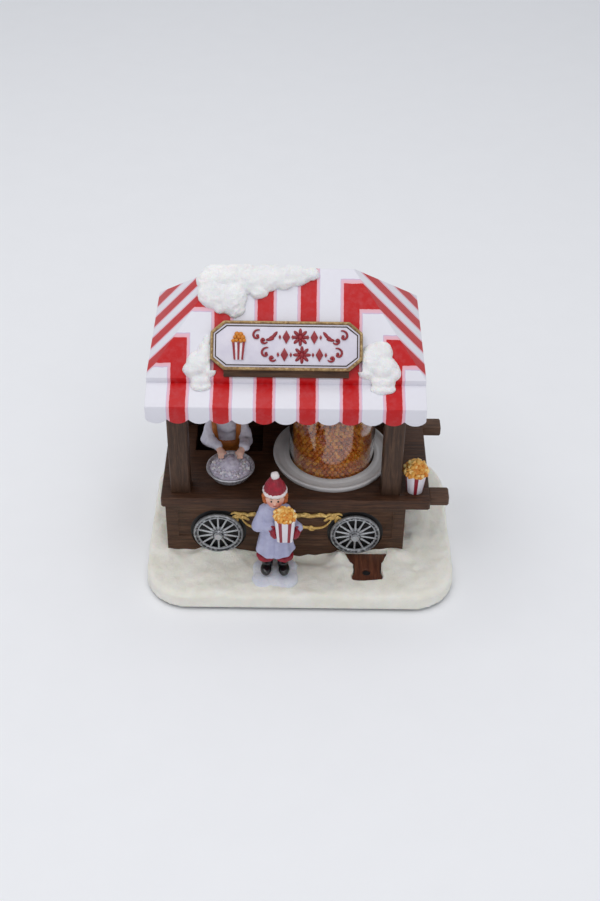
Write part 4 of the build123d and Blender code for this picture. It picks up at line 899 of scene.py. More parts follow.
def signOrnament():
    s = ornamentSettings
    top = onSlope(roofMiddle[0], signAlong, 3.0)
    first, second = s["rowHeights"]
    red = []
    for row, (low, high), kinds in ((first, s["rowOne"], "cldrdlc"), (second, s["rowTwo"], "cdrdc")):
        for index, kind in enumerate(kinds):
            x = low + 1.8 + (high - low - 3.6) * index / (len(kinds) - 1)
            side = 1 if index < len(kinds) / 2 else -1
            if kind == "c":
                red += curl(x - side * 0.3, row + 0.5, 2.4, side, 1.2) + curl(x + side * 2.1, row - 1.2, 1.6, -side,
                                                                              3.6)
            elif kind == "r":
                red += rosette(x, row, 3.4)
            elif kind == "d":
                red += [lozenge(x, row, 1.5, 2.7), lozenge(x - 2.5, row, 0.55, 1.0), lozenge(x + 2.5, row, 0.55, 1.0)]
            else:
                red += [ball((x + side * 0.9 * k, row + k * 0.9, 0.12), (1.7, 0.65, 0.4),
                             (0, 0, side * (30 + 20 * k)), 12)
                        for k in (-1, 0, 1)]
    flourish = joined("signFlourish", red)
    finish(moved(flourish, top), crimsonPaint, "sign_crimson", "sign_ornament", angle=40)
    x = s["cartonX"]
    white = plate([(x - 1.9, -5.8), (x + 1.9, -5.8), (x + 2.7, 1.2), (x - 2.7, 1.2)], 0, 0.5)
    bevelled(white, 0.12, 2)
    finish(moved(white, top), cartonWhite, "sign_pale", angle=40)
    white.name = "signCarton"
    bars = [plate([(x + a * 1.9 - 0.36, -5.7), (x + a * 1.9 + 0.36, -5.7), (x + a * 2.6 + 0.5, 1.1),
                   (x + a * 2.6 - 0.5, 1.1)], 0.3, 0.72) for a in (-0.78, 0, 0.78)]
    finish(moved(joined("signCartonBars", bars), top), crimsonPaint, "sign_crimson", angle=40)
    random.seed(4)
    dabs = [ball((x + dx, 2.6 + dy, 0.4), random.uniform(0.75, 1.05), detail=12) for dx, dy in
            ((-2.1, -0.9), (-0.8, -0.7), (0.8, -0.9), (2.1, -0.7), (-1.5, 0.6), (0.1, 0.6), (1.6, 0.5), (-0.7, 1.8),
             (0.8, 1.7))]
    finish(moved(joined("signCorn", dabs), top), goldCorn, "popcorn")


def cutCorners(x, farX, y, farY):  # an oblong with its corners cut off
    return [(-x, -farY), (x, -farY), (farX, -y), (farX, y), (x, farY), (-x, farY), (-farX, y), (-farX, -y)]


def sign():
    finish(softened("sign_board", 0.35), bodyWood, "cart_brown", "sign_board", angle=40)
    finish(softened("sign_frame", 0.42, 30, 3), mouldingGold, "gilt", "sign_frame", angle=50)
    finish(softened("sign_face", 0.12), signPaint, "sign_pale", "sign_face", angle=40)
    line = plate(cutCorners(23.4, 27.8, 4.4, 7.9), 0, 0.68, "signInnerLine")
    cut(line, plate(cutCorners(23.2, 27.35, 4.2, 7.45), -1, 2))
    finish(moved(line, onSlope(roofMiddle[0], signAlong, 2.4)), wallWood, "cart_brown", angle=40)
    signOrnament()


# cart body, posts, wheels, scrollwork

wheelSettings = {"rim": 10.6, "spokes": 14, "depth": 1.5}


def spokedWheel():  # lies flat at the origin, outer face up
    s = wheelSettings
    r, d = s["rim"], s["depth"]
    rim = turned("rim",
                 [(r - 1.75, 0.15), (r - 1.75, d - 0.45), (r - 1.45, d - 0.2), (r - 1.1, d - 0.28), (r - 0.85, d),
                         (r - 0.3, d), (r, d - 0.3), (r, 0.3), (r - 0.3, 0), (r - 1.5, 0)], 84)
    felloe = turned("felloe", [(r - 2.15, 0.5), (r - 2.15, 1.05), (r - 1.9, 1.25), (r - 1.6, 1.05), (r - 1.6, 0.5)], 84)
    hub = turned("hub",
                 [(1.04, 0.1), (3.1, 0.1), (3.2, 0.6), (2.9, 1.0), (2.3, 1.2), (2.25, 1.6), (2.6, 1.85), (2.55, 2.2),
                         (2.0, 2.5), (1.85, 2.9), (1.04, 2.9)], 40)
    pieces = [rim, felloe, hub]
    for index in range(s["spokes"]):
        angle = math.tau * (index + 0.5) / s["spokes"]
        way = Vector((math.cos(angle), math.sin(angle), 0))
        height = Vector((0, 0, 0.85))
        pieces.append(limb(way * 1.9 + height * 1.15, way * (r - 1.9) + height * 0.95, 0.52, 0.34, 10))
        pieces.append(ball(way * 3.7 + height * 1.12, (0.62, 0.62, 0.6), detail=10))
        pieces.append(ball(way * (r - 3.0) + height, (0.5, 0.5, 0.5), detail=10))
    return joined("spokedWheel", pieces)


def wheels():
    model = spokedWheel()
    for side, y, turn in (("front", -1, 90), ("rear", 1, -90)):
        for end in ("left", "right"):
            node = f"wheel_{side}_{end}"
            low, high = (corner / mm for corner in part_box(node))
            wheel = copied(model, node + "Spoked")
            face = high.y if y < 0 else low.y
            place = Matrix.Translation(Vector(((low.x + high.x) / 2, face, (low.z + high.z) / 2)) * mm)
            moved(wheel, place @ Matrix.Rotation(math.radians(turn), 4, "X"))
            finish(wheel, wheelSilver, "wheel_silver", node, angle=45)
    bpy.data.objects.remove(model)


def leaf(x, z, size, angle):
    return ball((x, 0, z), (size, 0.5, size * 0.42), (0, angle, 0), 12)


def scrollStroke(points, thickness, ends=0.45):
    return wire([(x, 0, z) for x, z in points], thickness, ends=ends)


def whorl(x, z, size, side, upward=1, turns=0.8, thickness=0.5):
    points = []
    for step in range(16):
        share = step / 15
        angle = share * turns * math.tau + 0.4
        reach = size * (1 - 0.82 * share)
        points.append((x + side * reach * math.cos(angle), z + upward * reach * math.sin(angle)))
    return [scrollStroke(points, thickness), ball((x, 0, z), (0.75, 0.6, 0.75), detail=12)]


def goldScroll():
    low, high = (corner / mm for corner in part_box("scroll_ornament"))
    middle = (low.x + high.x) / 2
    half = (high.x - low.x) / 2
    top, base = high.z - 0.9, low.z
    pieces = []
    for side in (-1, 1):
        end = middle + side * half
        far = middle + side * (half - 6.5)
        pieces += whorl(end - side * 1.9, top - 0.9, 2.1, side, 1, 0.95, 0.72)
        pieces += whorl(end - side * 4.9, top - 1.3, 2.2, -side, 1, 0.85, 0.72)
        for dx, dz, size, angle in ((0.6, -2.2, 1.7, 60), (2.4, -2.8, 1.8, 95), (4.6, 0.3, 1.6, 20),
                                    (6.2, -2.2, 1.9, 140),
                                    (3.2, 0.6, 1.5, -10), (7.2, -0.4, 1.8, 170)):
            pieces.append(leaf(end - side * dx, top + dz, size, side * angle))
        pieces.append(scrollStroke([(far, top - 0.6), (far - side * 3.4, top + 0.3), (far - side * 7.0, top - 0.9),
                                    (far - side * 10.5, top + 0.2), (middle + side * 2.2, top - 0.5), (middle, top)],
                                   1.0, 0.7))
        for index in range(4):
            pieces.append(leaf(far - side * (2.2 + index * 3.1), top - 0.1 + 0.5 * (-1) ** index, 1.9,
                               side * (20 - 40 * (index % 2))))
        pieces.append(scrollStroke([(end - side * 4.6, top - 3.0), (end - side * 6.4, top - 6.2),
                                    (end - side * 10.5, top - 7.8),
                                    (middle + side * 8.4, top - 6.6), (middle + side * 5.4, base + 3.0),
                                    (middle + side * 2.4, base + 1.0), (middle, base + 1.6)], 0.62))
        pieces += whorl(middle + side * 10.6, base + 3.9, 1.7, side, -1, 0.9, 0.52)
        for dx, dz, angle in ((8.0, 4.0, 35), (5.6, 4.6, -35), (3.6, 2.9, 55)):
            pieces.append(leaf(middle + side * dx, base + dz, 1.5, side * angle))
    pieces += [ball((middle, 0, base + 2.6), (0.9, 0.6, 1.4), detail=14), leaf(middle, base + 4.8, 1.2, 90)]
    scroll = joined("goldScroll", pieces)
    moved(scroll, Matrix.Translation((0, (high.y - 0.25) * mm, 0)) @ Matrix.Diagonal((1, 0.9, 1, 1)))
    finish(scroll, goldLeaf, "gilt", "scroll_ornament", angle=60)


def cartBody():
    finish(softened("wagon_body", 0.28), bodyWood, "cart_brown", "wagon_body", angle=40)
    finish(softened("counter_top", 0.45, 30, 3), counterWood, "cart_brown", "counter_top", angle=40)
    for row in ("front", "rear"):
        for end in ("left", "right"):
            finish(softened(f"post_{row}_{end}", 0.25), postWood, "cart_brown", f"post_{row}_{end}", angle=40)
        finish(softened(f"shaft_{row}", 0.4, 30, 3), shaftWood, "cart_brown", f"shaft_{row}", angle=40)
    archShadows()


archSettings = {"radius": 12.1, "thickness": 0.22, "flange": 3, "inward": 0.9, "foot": 8.8}


def archShadows():  # painted shade: a dark disc behind each wheel stands in for the shadow in the hollow under its arch
    body = [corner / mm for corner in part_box("wagon_body")]
    s = archSettings
    r, t = s["radius"], s["thickness"]
    for side, wall, way in (("front", body[0].y + s["flange"], 1), ("rear", body[1].y - s["flange"], -1)):
        discs = []
        for end in ("left", "right"):
            low, high = (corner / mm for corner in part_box(f"wheel_{side}_{end}"))
            place = Vector(((low.x + high.x) / 2, wall + way * s["inward"], (low.z + high.z) / 2))
            turn = Matrix.Rotation(math.radians(90 * way), 4, "X")
            disc = turned("arch", [(0, 0), (r, 0), (r, t), (0, t)], 64)
            discs.append(moved(disc, Matrix.Translation(place * mm) @ turn))
        dark = joined(side + "ArchShade", discs)
        cut(dark, block((body[0].x, body[0].y, 0), (body[1].x, body[1].y, s["foot"])))
        finish(dark, darkPlastic, "housing_black", angle=30)


# popper, bowl, bucket

def clearDome():
    low, high = (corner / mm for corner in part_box("popper_dome"))
    centre = ((low.x + high.x) / 2, (low.y + high.y) / 2)
    foot, radius, rise, wall = (high.x - low.x) / 2, 18.3, high.z - low.z, 1.0
    outer = []
    for step in range(25):
        share = step / 24
        lower, upper = 0.4 * share / 0.45, 0.4 + 0.6 * math.sin((share - 0.45) / 0.55 * math.pi / 2)
        height = rise * (lower if share < 0.45 else upper)
        level = max(0.0, (height / rise - 0.4) / 0.6)
        reach = radius * (1 - level ** 3.0) ** (1 / 2.4) if level else radius - 0.6 * (1 - height / rise / 0.4) ** 2
        outer.append((reach if step < 24 else 0.0, low.z + max(height, 1.2)))
    inner = [(max(reach - wall, 0.0), min(height, high.z - wall)) for reach, height in outer]
    inner[0] = (inner[0][0], low.z)
    profile = [(foot, low.z), (foot, low.z + 0.9), (foot - 0.3, low.z + 1.2)] + outer + inner[::-1]
    dome = turned("clearDome", profile, 96, centre)
    finish(dome, clearPlastic(), "clear_dome", "popper_dome", angle=50)


beadSettings = {"size": 1.12, "gap": 2.02, "seed": 11}


def scattered(name, model, places, wobble):  # one mesh from many turned copies of a model
    faces = [list(face.vertices) for face in model.data.polygons]
    shape = spots(model)
    count = len(shape)
    vertices, sides, tones = [], [], []
    for index, place in enumerate(places):
        turn = Euler([random.uniform(0, math.tau) for _ in range(3)]).to_matrix()
        size = random.uniform(1 - wobble, 1 + wobble)
        vertices.append((shape @ np.array(turn).T * size + np.array(place)) * mm)
        sides += [[corner + index * count for corner in face] for face in faces]
        tones += [random.random()] * count
    mesh = bpy.data.meshes.new(name)
    mesh.from_pydata(np.concatenate(vertices).tolist(), [], sides)
    mesh.attributes.new("ownTone", "FLOAT", "POINT").data.foreach_set("value", tones)
    piece = bpy.data.objects.new(name, mesh)
    bpy.context.scene.collection.objects.link(piece)
    bpy.data.objects.remove(model)
    return piece


def beadBed():  # only the outer layers of loose beads, round a solid core whose darker amber is painted shade of the gaps deep in the pile
    low, high = (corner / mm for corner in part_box("popcorn_fill"))
    s = beadSettings
    random.seed(s["seed"])
    x0, y0 = (low.x + high.x) / 2, (low.y + high.y) / 2
    radius, rise = (high.x - low.x) / 2 - 0.1, high.z - low.z
    places = []
    layers = int((rise - 1.2) / (s["gap"] * 0.86))
    for layer in range(layers + 1):
        z = low.z + 1.0 + layer * s["gap"] * 0.86
        shrink = max(0.0, (z - low.z) / rise - 0.72) / 0.28
        edge = radius * (1 - 0.42 * shrink ** 2) - s["size"]
        reach = edge
        while reach > 0.5:
            if shrink < 0.35 and reach < edge - 1.2 * s["gap"]:
                break
            count = max(1, int(math.tau * reach / (s["gap"] * 1.05)))
            start = layer * math.pi / count
            for index in range(count):
                angle = start + math.tau * index / count
                push = [random.uniform(-0.13, 0.13) for _ in range(3)]
                places.append((x0 + reach * math.cos(angle) + push[0], y0 + reach * math.sin(angle) + push[1],
                               min(z + push[2], high.z - s["size"])))
            reach -= s["gap"] * 0.9
    bpy.ops.mesh.primitive_ico_sphere_add(subdivisions=2, radius=s["size"] * mm)
    beads = scattered("popcornBeads", fresh("bead"), places, 0.1)
    print(len(places), "beads")
    finish(beads, amberGrain, "popcorn", "popcorn_fill")
    core = turned("popcornCore", [(0, low.z + 0.3), (radius - 2.6, low.z + 0.3), (radius - 2.6, low.z + 0.7 * rise),
                                  (radius - 8, high.z - 3.6), (0, high.z - 2.8)], 40, (x0, y0))
    finish(core, coreAmber, "popcorn", angle=40)


def puffedKernel(size):  # a popped kernel: five uneven lobes melted together
    random.seed(100)
    lobes = [ball([random.uniform(-0.5, 0.5) * size for _ in range(3)], random.uniform(0.42, 0.6) * size, detail=12)
             for _ in range(5)]
    kernel = melted("kernel", lobes, size * 0.16, 1)
    modify(kernel, "DECIMATE", ratio=min(1.0, 90 / len(kernel.data.polygons) / 2))
    return kernel


goldenAngle = 2.39996


def heaped(name, centre, radius, low, rise, size, count, material, slot, *replaced):
    random.seed(len(name) * 7)
    places = []
    for index in range(count):  # a sunflower layout over a low hill
        share = math.sqrt((index + 0.5) / count)
        angle = index * goldenAngle
        x, y = radius * share * math.cos(angle), radius * share * math.sin(angle)
        places.append((centre[0] + x, centre[1] + y,
                       low + rise * (1 - share ** 2.2) + random.uniform(-0.3, 0.3) * size))
    pile = scattered(name + "Kernels", puffedKernel(size), places, 0.22)
    bed = turned(name + "Bed",
                 [(0, low - size * 0.9), (radius * 0.86, low - size * 0.9), (radius * 0.9, low - size * 0.1),
                                (radius * 0.55, low + rise * 0.6), (0, low + rise * 0.9)], 36, centre)
    pile = joined(name, [pile, bed])
    return finish(pile, material, slot, *replaced)


def mixingBowl():
    low, high = (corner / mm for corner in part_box("mixing_bowl"))
    centre = ((low.x + high.x) / 2, (low.y + high.y) / 2)
    r, z, t = (high.x - low.x) / 2, low.z, high.z
    profile = [(0, z), (4.6, z), (4.9, z + 0.5), (6.4, z + 1.1), (8.2, z + 2.5), (9.1, t - 1.3), (r - 0.3, t - 0.8),
               (r, t - 0.45), (r - 0.1, t - 0.05), (r - 0.5, t), (r - 0.95, t - 0.3), (r - 1.5, t - 0.75),
               (r - 1.75, t - 1.3), (7.6, z + 3.2), (5.4, z + 1.7), (0, z + 1.4)]
    bowl = turned("mixingBowl", profile, 72, centre)
    finish(bowl, bowlSilver, "bowl_silver", "mixing_bowl", angle=35)
    bed = turned("bowlBed", [(0, t - 2.6), (r - 2.0, t - 1.9), (r - 1.7, t - 0.75), (r - 2.6, t - 0.5),
                             (5.4, t - 0.5), (4.2, t + 0.9),
                             (3.0, t + 2.6), (1.4, t + 3.6), (0, t + 3.8)], 64, centre)
    modify(bed, "REMESH", mode="VOXEL", voxel_size=0.3 * mm)
    roughened(bed, (0.35, 1.6), (0.18, 0.7))
    finish(bed, bowlCream, "kernel_cream", "bowl_popcorn")
    heaped("bowlCorn", centre, r - 2.6, t - 0.6, 1.2, 1.0, 70, creamCorn, "kernel_cream")


def stripedCup(name, node, stripes, square=0.0):
    low, high = (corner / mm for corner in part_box(node))
    centre = Vector(((low.x + high.x) / 2, (low.y + high.y) / 2, 0))
    top = (high.x - low.x) / 2
    bottom = top * 0.76
    rise = high.z - low.z
    wall = 0.45
    cup = turned(name, [(0, 0), (bottom - 0.2, 0), (bottom, 0.2), (top - 0.05, rise - 0.45), (top, rise - 0.2),
                        (top - 0.2, rise), (top - wall, rise - 0.15), (bottom - wall, 0.6), (0, 0.6)], 72)
    places = spots(cup)
    angle = np.arctan2(places[:, 1], places[:, 0])
    reach = np.hypot(places[:, 0], places[:, 1])
    corner = np.minimum(1 / np.maximum(np.abs(np.cos(angle)), np.abs(np.sin(angle))), 1.26)
    scale = 1 + square * (corner - 1) - square * 0.06
    places[:, 0], places[:, 1] = reach * scale * np.cos(angle), reach * scale * np.sin(angle)
    waves = np.clip(places[:, 2] / rise, 0, 1) ** 8
    places[:, 2] -= waves * 0.35 * (1 + np.cos(angle * 12))
    setSpots(cup, places + np.array(centre) + np.array((0, 0, low.z)))
    material, tree, shader = surface(name + "Paint", Roughness=0.4)
    place = where(tree)
    axes = add(tree, "SeparateXYZ", {"Vector": place})
    dx, dy = calc(tree, "SUBTRACT", axes.outputs[0], centre.x), calc(tree, "SUBTRACT", axes.outputs[1], centre.y)
    share = calc(tree, "DIVIDE", calc(tree, "SUBTRACT", axes.outputs[2], low.z), rise)
    width = calc(tree, "MULTIPLY_ADD", share, top - bottom, bottom)
    if square:
        across = calc(tree, "MINIMUM", calc(tree, "ABSOLUTE", dx), calc(tree, "ABSOLUTE", dy))
        near = calc(tree, "ABSOLUTE", calc(tree, "SUBTRACT", calc(tree, "DIVIDE", across, width), 0.46))
        mask = ramp(tree, near, (0.0, 1.0), (0.15, 1.0), (0.18, 0.0))
    else:
        turn = calc(tree, "DIVIDE", calc(tree, "ARCTAN2", dx, calc(tree, "MULTIPLY", dy, -1.0)), math.tau / stripes)
        mask = ramp(tree, calc(tree, "PINGPONG", turn, 0.5), (0.0, 1.0), (0.14, 1.0), (0.165, 0.0))
    fine = grainy(tree, place, 2.4, 3)
    tone = blended(tree, fine, rgb(240, 236, 240), rgb(222, 216, 226))
    tree.links.new(blended(tree, mask, tone, rgb(146, 26, 44)), shader.inputs["Base Color"])
    tree.links.new(relief(tree, fine, 0.04), shader.inputs["Normal"])
    return cup, material, centre, top


def cups():
    cup, material, centre, top = stripedCup("shelfBucket", "shelf_bucket", 5)
    finish(cup, material, "carton_paint", "shelf_bucket", angle=40)
    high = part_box("shelf_bucket")[1] / mm
    heaped("bucketCorn", (centre.x, centre.y), top + 0.2, high.z - 0.3, 4.4, 1.3, 80, goldCorn, "popcorn",
           "bucket_popcorn")
    cup, material, centre, top = stripedCup("childCarton", "child_carton", 4, 1.0)
    finish(cup, material, "carton_paint", "child_carton", angle=40)
    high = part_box("child_carton")[1] / mm
    heaped("cartonCorn", (centre.x, centre.y), top - 0.1, high.z - 0.4, 2.0, 1.15, 80, goldCorn, "popcorn",
           "carton_popcorn")


# the two figures

def face(middle, size, skin):  # a calm round doll's face that looks to the front
    x, y, z = middle
    front = y - size
    head = melted("head", [ball(middle, (size, size * 0.97, size * 1.04), detail=32),
                           ball((x, y - size * 0.25, z - size * 0.42), (size * 0.72, size * 0.7, size * 0.6),
                                detail=24),
                           ball((x, front - 0.1, z - size * 0.1), (0.5, 0.6, 0.48), detail=12),
                           ball((x - size * 0.94, y, z - size * 0.12), (0.5, 0.8, 1.0), detail=12),
                           ball((x + size * 0.94, y, z - size * 0.12), (0.5, 0.8, 1.0), detail=12)], 0.22, 2)
    finish(head, skin, "figure_paint")
    marks = []
    for side in (-1, 1):
        depth = math.sqrt(max(0.0, size ** 2 - (size * 0.34) ** 2)) * 0.955
        marks.append(ball((x + side * size * 0.34, y - depth, z + size * 0.16), (0.42, 0.26, 0.5), detail=12))
        marks.append(wire([(x + side * size * 0.2, y - depth * 0.99, z + size * 0.44),
                           (x + side * size * 0.36, y - depth * 0.96, z + size * 0.52),
                           (x + side * size * 0.5, y - depth * 0.88, z + size * 0.42)], 0.12))
    finish(joined("faceMarks", marks), inkDark, "figure_paint")
    low = z - size * 0.42
    mouth = wire([(x - size * 0.2, front + 0.24, low + 0.2), (x, front - 0.02, low - 0.12),
                  (x + size * 0.2, front + 0.24, low + 0.2)], 0.2)
    finish(mouth, lipRed, "figure_paint")
    mouth.name = "faceMouth"


def folded(piece, centre, low, high, count, depth):  # soft upright folds, deepest at the hem
    places = spots(piece)
    angle = np.arctan2(places[:, 1] - centre[1], places[:, 0] - centre[0])
    fall = np.clip((high - places[:, 2]) / (high - low), 0, 1)
    wave = np.cos(angle * count + 1.6 * lumps(places, 9, 1.0)) * depth * fall ** 1.4
    ways = outward(piece).copy()
    ways[:, 2] = 0
    setSpots(piece, places + ways * wave[:, None])
    return piece


def child():
    pad = [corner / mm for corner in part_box("child_snow_pad")]
    box = [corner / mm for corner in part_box("child_figure")]
    carton = [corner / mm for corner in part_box("child_carton")]
    x, y, z = (pad[0].x + pad[1].x) / 2, (pad[0].y + pad[1].y) / 2 + 1.2, box[0].z
    hold = (carton[0] + carton[1]) / 2
    boots, legs = [], []
    for side in (-1, 1):
        a = x + side * 3.3
        boots += [limb((a, y + 0.6, z + 0.8), (a, y + 0.5, z + 6.4), 2.3, 2.5),
                  ball((a + side * 0.5, y - 2.2, z + 1.7), (2.4, 3.9, 1.9)),
                  ball((a, y + 0.8, z + 1.3), (2.3, 2.4, 1.5)), ring((a, y + 0.5, z + 6.2), 2.25, 0.5)]
        legs += [limb((a, y + 0.5, z + 6.6), (a - side * 0.3, y + 0.4, z + 15), 3.1, 3.3),
                 ball((a + side * 0.5, y - 0.4, z + 8.0), (4.1, 4.1, 1.9))]
    boot = melted("childBoots", boots, 0.28, 3)
    cut(boot, block((x - 20, y - 20, z - 5), (x + 20, y + 20, z + 0.05)))
    finish(boot, bootBlack, "figure_paint", "child_figure")
    finish(roughened(melted("childTrousers", legs, 0.35, 3), (0.25, 1.6)), hatRed, "figure_paint")
    skirt = turned("skirt", [(0, z + 12.2), (6.9, z + 11.9), (7.9, z + 11.5), (8.1, z + 12.4), (7.4, z + 15.5),
                             (6.6, z + 19), (5.9, z + 24),
                             (5.5, z + 29), (5.5, z + 32.6), (4.4, z + 35.8), (2.8, z + 37.8), (0, z + 38.4)], 64,
                   (x, y))
    moved(skirt,
          Matrix.Translation((0, y * mm, 0)) @ Matrix.Diagonal((1, 0.88, 1, 1)) @ Matrix.Translation((0, -y * mm, 0)))
    parts = [skirt]
    for side in (-1, 1):
        shoulder = (x + side * 4.2, y + 0.2, z + 32.8)
        elbow = (x + side * 6.9, y - 0.8, z + 25.2)
        wrist = (hold.x + side * 5.2, hold.y + 4.0, carton[0].z + 2.2)
        parts += [ball(shoulder, 2.7), limb(shoulder, elbow, 2.6, 2.75), ball(elbow, 2.8),
                  limb(elbow, wrist, 2.75, 2.1), ball(wrist, 2.15)]
    coat = folded(melted("childCoat", parts, 0.34, 5), (x, y), z + 12, z + 32, 9, 0.4)
    places = spots(coat)
    seam = np.exp(-((places[:, 0] - x + 0.2) / 0.32) ** 2) * (places[:, 1] < y - 2) * (places[:, 2] < z + 36)
    places[:, 1] += 0.45 * seam
    setSpots(coat, places)
    finish(roughened(coat, (0.22, 2.6)), coatLilac, "figure_paint")
    collar = ring((x, y - 0.3, z + 37.3), 2.9, 0.8, (14, 0, 0))
    finish(roughened(collar, (0.15, 1.2)), coatLilac, "figure_paint")
    collar.name = "childCollar"
    mittens = []
    for side in (-1, 1):
        a, b, c = hold.x + side * 4.6, hold.y + 0.6, carton[0].z + 1.9
        mittens += [ball((a, b, c), (1.6, 2.0, 1.7)), ball((a - side * 0.5, b - 1.3, c - 0.1), (1.25, 1.5, 1.4)),
                    ball((a - side * 0.2, b - 0.8, c + 1.4), (0.8, 1.2, 0.8), (20, 0, 0)),
                    ring((a + side * 0.4, b + 1.8, c + 0.1), 1.5, 0.5, (80, 0, side * 20))]
    finish(roughened(melted("childMittens", mittens, 0.24, 2), (0.12, 0.9)), hatRed, "figure_paint")
    head = (x, y - 1.0, z + 40.9)
    face(head, 4.05, skinPaint("childSkin", [(x - 2.1, y - 4.0, z + 39.8), (x + 2.1, y - 4.0, z + 39.8)]))
    locks = [ball((x, y + 1.2, head[2] + 0.2), (4.5, 3.7, 4.4), detail=24)]
    random.seed(5)
    for side in (-1, 1):
        for index in range(6):
            locks.append(ball((x + side * (3.9 + 0.4 * math.sin(index)), y - 1.6 + 0.6 * (index % 3),
                               head[2] + 2.0 - index * 0.95),
                              (1.15, 1.5, 1.0), (0, 0, side * 20), 14))
    finish(roughened(melted("childHair", locks, 0.24, 2), (0.28, 0.8)), hairOrange, "figure_paint")
    brim = z + 43.2
    hat = turned("childHat",
                 [(0, brim), (4.3, brim), (4.5, brim + 1.0), (4.3, brim + 2.4), (3.7, brim + 3.9), (2.8, brim + 5.6),
                              (1.7, brim + 6.9), (0.8, brim + 7.5), (0, brim + 7.7)], 96, (x, y))
    places = spots(hat)
    angle = np.arctan2(places[:, 1] - y, places[:, 0] - x)
    reach = np.hypot(places[:, 0] - x, places[:, 1] - y)
    rib = 1 + 0.03 * np.cos(angle * 18) * (reach > 1)
    places[:, 0], places[:, 1] = x + (places[:, 0] - x) * rib, y + (places[:, 1] - y) * rib
    setSpots(hat, places)
    finish(roughened(hat, (0.2, 2.2)), hatRed, "figure_paint")
    band = ring((x, y, brim + 0.5), 4.2, 0.85, sides=(64, 14))
    band.name = "childHatBand"
    finish(roughened(band, (0.25, 0.9), (0.12, 0.4)), furWhite, "figure_paint")
    bobble = ball((x, y, box[1].z - 1.7), 1.7, detail=32)
    bobble.name = "childBobble"
    finish(roughened(bobble, (0.3, 0.7), (0.15, 0.35)), furWhite, "figure_paint")


def vendor():
    box = [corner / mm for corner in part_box("vendor_figure")]
    bowl = [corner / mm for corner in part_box("mixing_bowl")]
    x = (box[0].x + box[1].x) / 2
    counter = bowl[0].z
    y, floor, waist = 18.2, box[0].z, counter + 2.4
    middle = ((bowl[0].x + bowl[1].x) / 2, (bowl[0].y + bowl[1].y) / 2)
    legs = [limb((x + side * 3.2, y, floor + 0.4), (x + side * 2.8, y, waist), 3.0, 3.7) for side in (-1, 1)]
    legs += [ball((x + side * 3.3, y - 1.4, floor + 1.4), (2.6, 3.9, 1.5))
             for side in (-1, 1)] + [ball((x, y, waist - 1.0), (6.3, 5.2, 4.0))]
    trousers = melted("vendorTrousers", legs, 0.4, 3)
    cut(trousers, block((x - 20, y - 20, floor - 5), (x + 20, y + 20, floor + 0.05)))
    finish(roughened(trousers, (0.25, 2.0)), trouserGrey, "figure_paint", "vendor_figure")
    parts = [ball((x, y - 2.6, waist + 5.6), (6.5, 5.4, 7.4)), ball((x, y - 5.2, waist + 12.0), (6.2, 4.9, 4.6)),
             ball((x, y - 1.4, waist + 1.2), (6.3, 5.2, 3.4))]
    hands = []
    for side in (-1, 1):
        shoulder = (x + side * 5.8, y - 5.4, waist + 12.6)
        elbow = (x + side * 8.3, y - 9.6, waist + 5.8)
        wrist = (middle[0] + side * 5.6, middle[1] + 7.4, bowl[1].z + 4.6)
        palm = (middle[0] + side * 4.0, middle[1] + 4.4, bowl[1].z + 3.6)
        parts += [ball(shoulder, 2.9), limb(shoulder, elbow, 2.8, 2.9), ball(elbow, 2.95),
                  limb(elbow, wrist, 2.85, 2.0),
                  ball(wrist, (2.2, 2.2, 2.2))]
        hands += [limb(wrist, palm, 1.4, 1.5), ball(palm, (1.7, 2.1, 1.5))]
        hands += [ball((palm[0] + k * 0.85, palm[1] - 1.7, palm[2] - 0.6), (0.5, 1.3, 0.55), (35, 0, 0))
                  for k in (-1, 0, 1)]
        hands.append(ball((palm[0] - side * 1.5, palm[1] - 0.6, palm[2]), (0.6, 1.2, 0.6), (0, 0, side * 30)))
    shirt = melted("vendorShirt", parts, 0.36, 5)
    finish(roughened(shirt, (0.45, 3.2), (0.2, 1.3)), shirtWhite, "figure_paint")
    skin = skinPaint("vendorSkin", [(x - 2.4, y - 10.0, waist + 20.6), (x + 2.4, y - 10.0, waist + 20.6)])
    finish(melted("vendorHands", hands, 0.22, 2), skin, "figure_paint")
    vendorApron(x, y, waist)
    head = (x, y - 6.0, waist + 21.6)
    face(head, 4.4, skin)
    neck = melted("neck", [limb((x, y - 4.8, waist + 14), (x, y - 5.6, waist + 19), 2.7, 2.3),
                           ring((x, y - 5.2, waist + 16.0), 2.9, 0.8, (15, 0, 0))], 0.3, 2)
    neck.name = "vendorCollar"
    finish(neck, shirtWhite, "figure_paint")
    locks = [ball((x, y - 4.6, head[2] + 0.4), (4.75, 4.2, 4.6), detail=24)]
    locks += [ball((x + side * 4.3, y - 6.6, head[2] + 0.8), (0.8, 1.3, 2.0)) for side in (-1, 1)]
    finish(roughened(melted("vendorHair", locks, 0.26, 2), (0.25, 0.8)), hairBrown, "figure_paint")
    cap = head[2] + 2.4
    top = min(box[1].z, cap + 8.0)
    hat = turned("vendorCap",
                 [(0, cap), (4.75, cap), (4.9, cap + 0.4), (4.8, cap + 2.6), (5.2, cap + 3.2), (5.7, cap + 4.6),
                               (5.0, top - 0.9), (3.4, top - 0.2), (0, top - 0.5)], 72, (x, y - 5.6))
    finish(folded(hat, (x, y - 5.6), cap + 8, cap + 2, 12, -0.2), furWhite, "figure_paint")


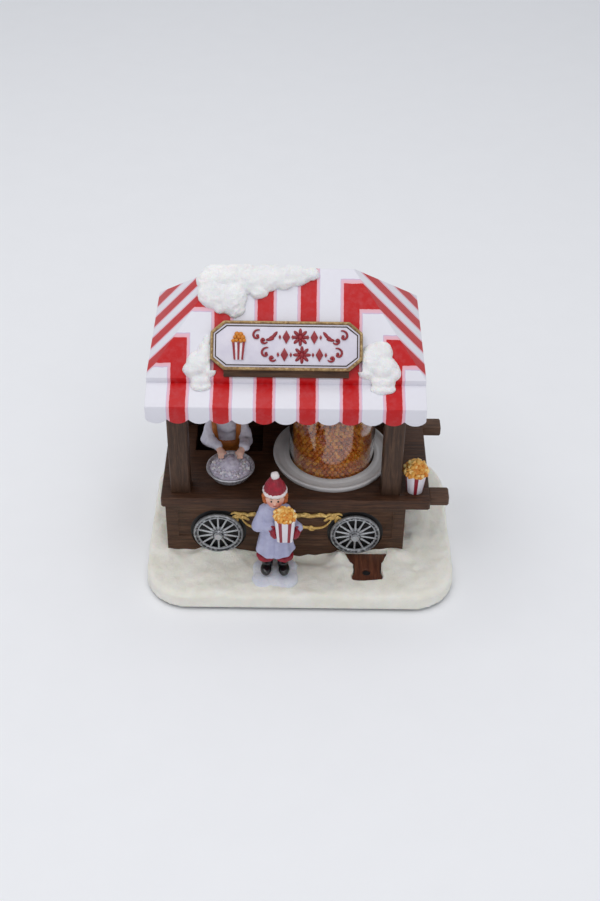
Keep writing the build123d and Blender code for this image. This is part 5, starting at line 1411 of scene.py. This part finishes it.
def vendorApron(x, y, waist):  # two straps into a band, pressed onto the shirt's front
    def onChest(u, height):
        bulge = 5.6 * math.sqrt(max(0.05, 1 - (u / 8.2) ** 2))
        lean = (height - 1) * 0.33 if height < 12 else 3.63
        return (x + u, y - 2.2 - bulge - lean + 0.25, waist + height)
    strips = []
    for side in (-1, 1):
        for index in range(7):
            height = 3.0 + index * 1.9
            strips.append(limb(onChest(side * (4.6 + 0.1 * index), height),
                               onChest(side * (4.7 + 0.1 * index), height + 2.1), 1.15, 1.15, 12))
    for index in range(9):
        u = -5.2 + index * 1.3
        strips.append(ball(onChest(u, 1.9), (1.3, 0.9, 2.0), detail=14))
        strips.append(ball(onChest(u, -0.6), (1.3, 1.0, 2.2), detail=14))
    apron = melted("vendorApron", strips, 0.3, 3)
    finish(apron, apronOrange, "figure_paint")


# everything is made here

addCamera()
addLights()
bpy.ops.mesh.primitive_plane_add(size=6)
floor = fresh("floor")
floor.data.materials.append(floorFinish())

snowBase()
pathPlank()
childMound()
print("snow ready")
canvas = stripedCanvas()
stripedRoof(canvas)
sign()
roofHeaps()
print("roof ready")
cartBody()
wheels()
goldScroll()
print("cart ready")
clearDome()
beadBed()
finish(softened("dome_dish", 0.25, 25, 3), dishPaint, "dish_grey", "dome_dish", angle=50)
mixingBowl()
cups()
print("popper ready")
child()
vendor()
print("figures ready")

plainNodes = {
    "base_plate": darkPlastic, "base_screws": plainSteel, "rubber_feet": footRubber, "wheel_pins": wheelSilver,
    # back_wall and roof_frame take wallWood, whose near-black brown is painted shade of the dark interior
    "back_wall": wallWood, "roof_frame": wallWood, "blower_housing": darkPlastic, "air_screen": darkPlastic,
    "motor": plainSteel, "motor_sleeve": darkPlastic, "motor_shaft": plainSteel, "impeller": fanWhite,
    "battery_box": darkPlastic, "battery_cells": cellWrap(), "battery_contacts": brassPlate,
    "battery_door": darkPlastic,
    "switch_body": darkPlastic, "switch_knob": darkPlastic, "leads": leadRed,
}
for name, material in plainNodes.items():
    nodes[name].data.materials.clear()
    nodes[name].data.materials.append(material)

for piece in bpy.data.objects:
    piece.select_set(False)
print("all ready")
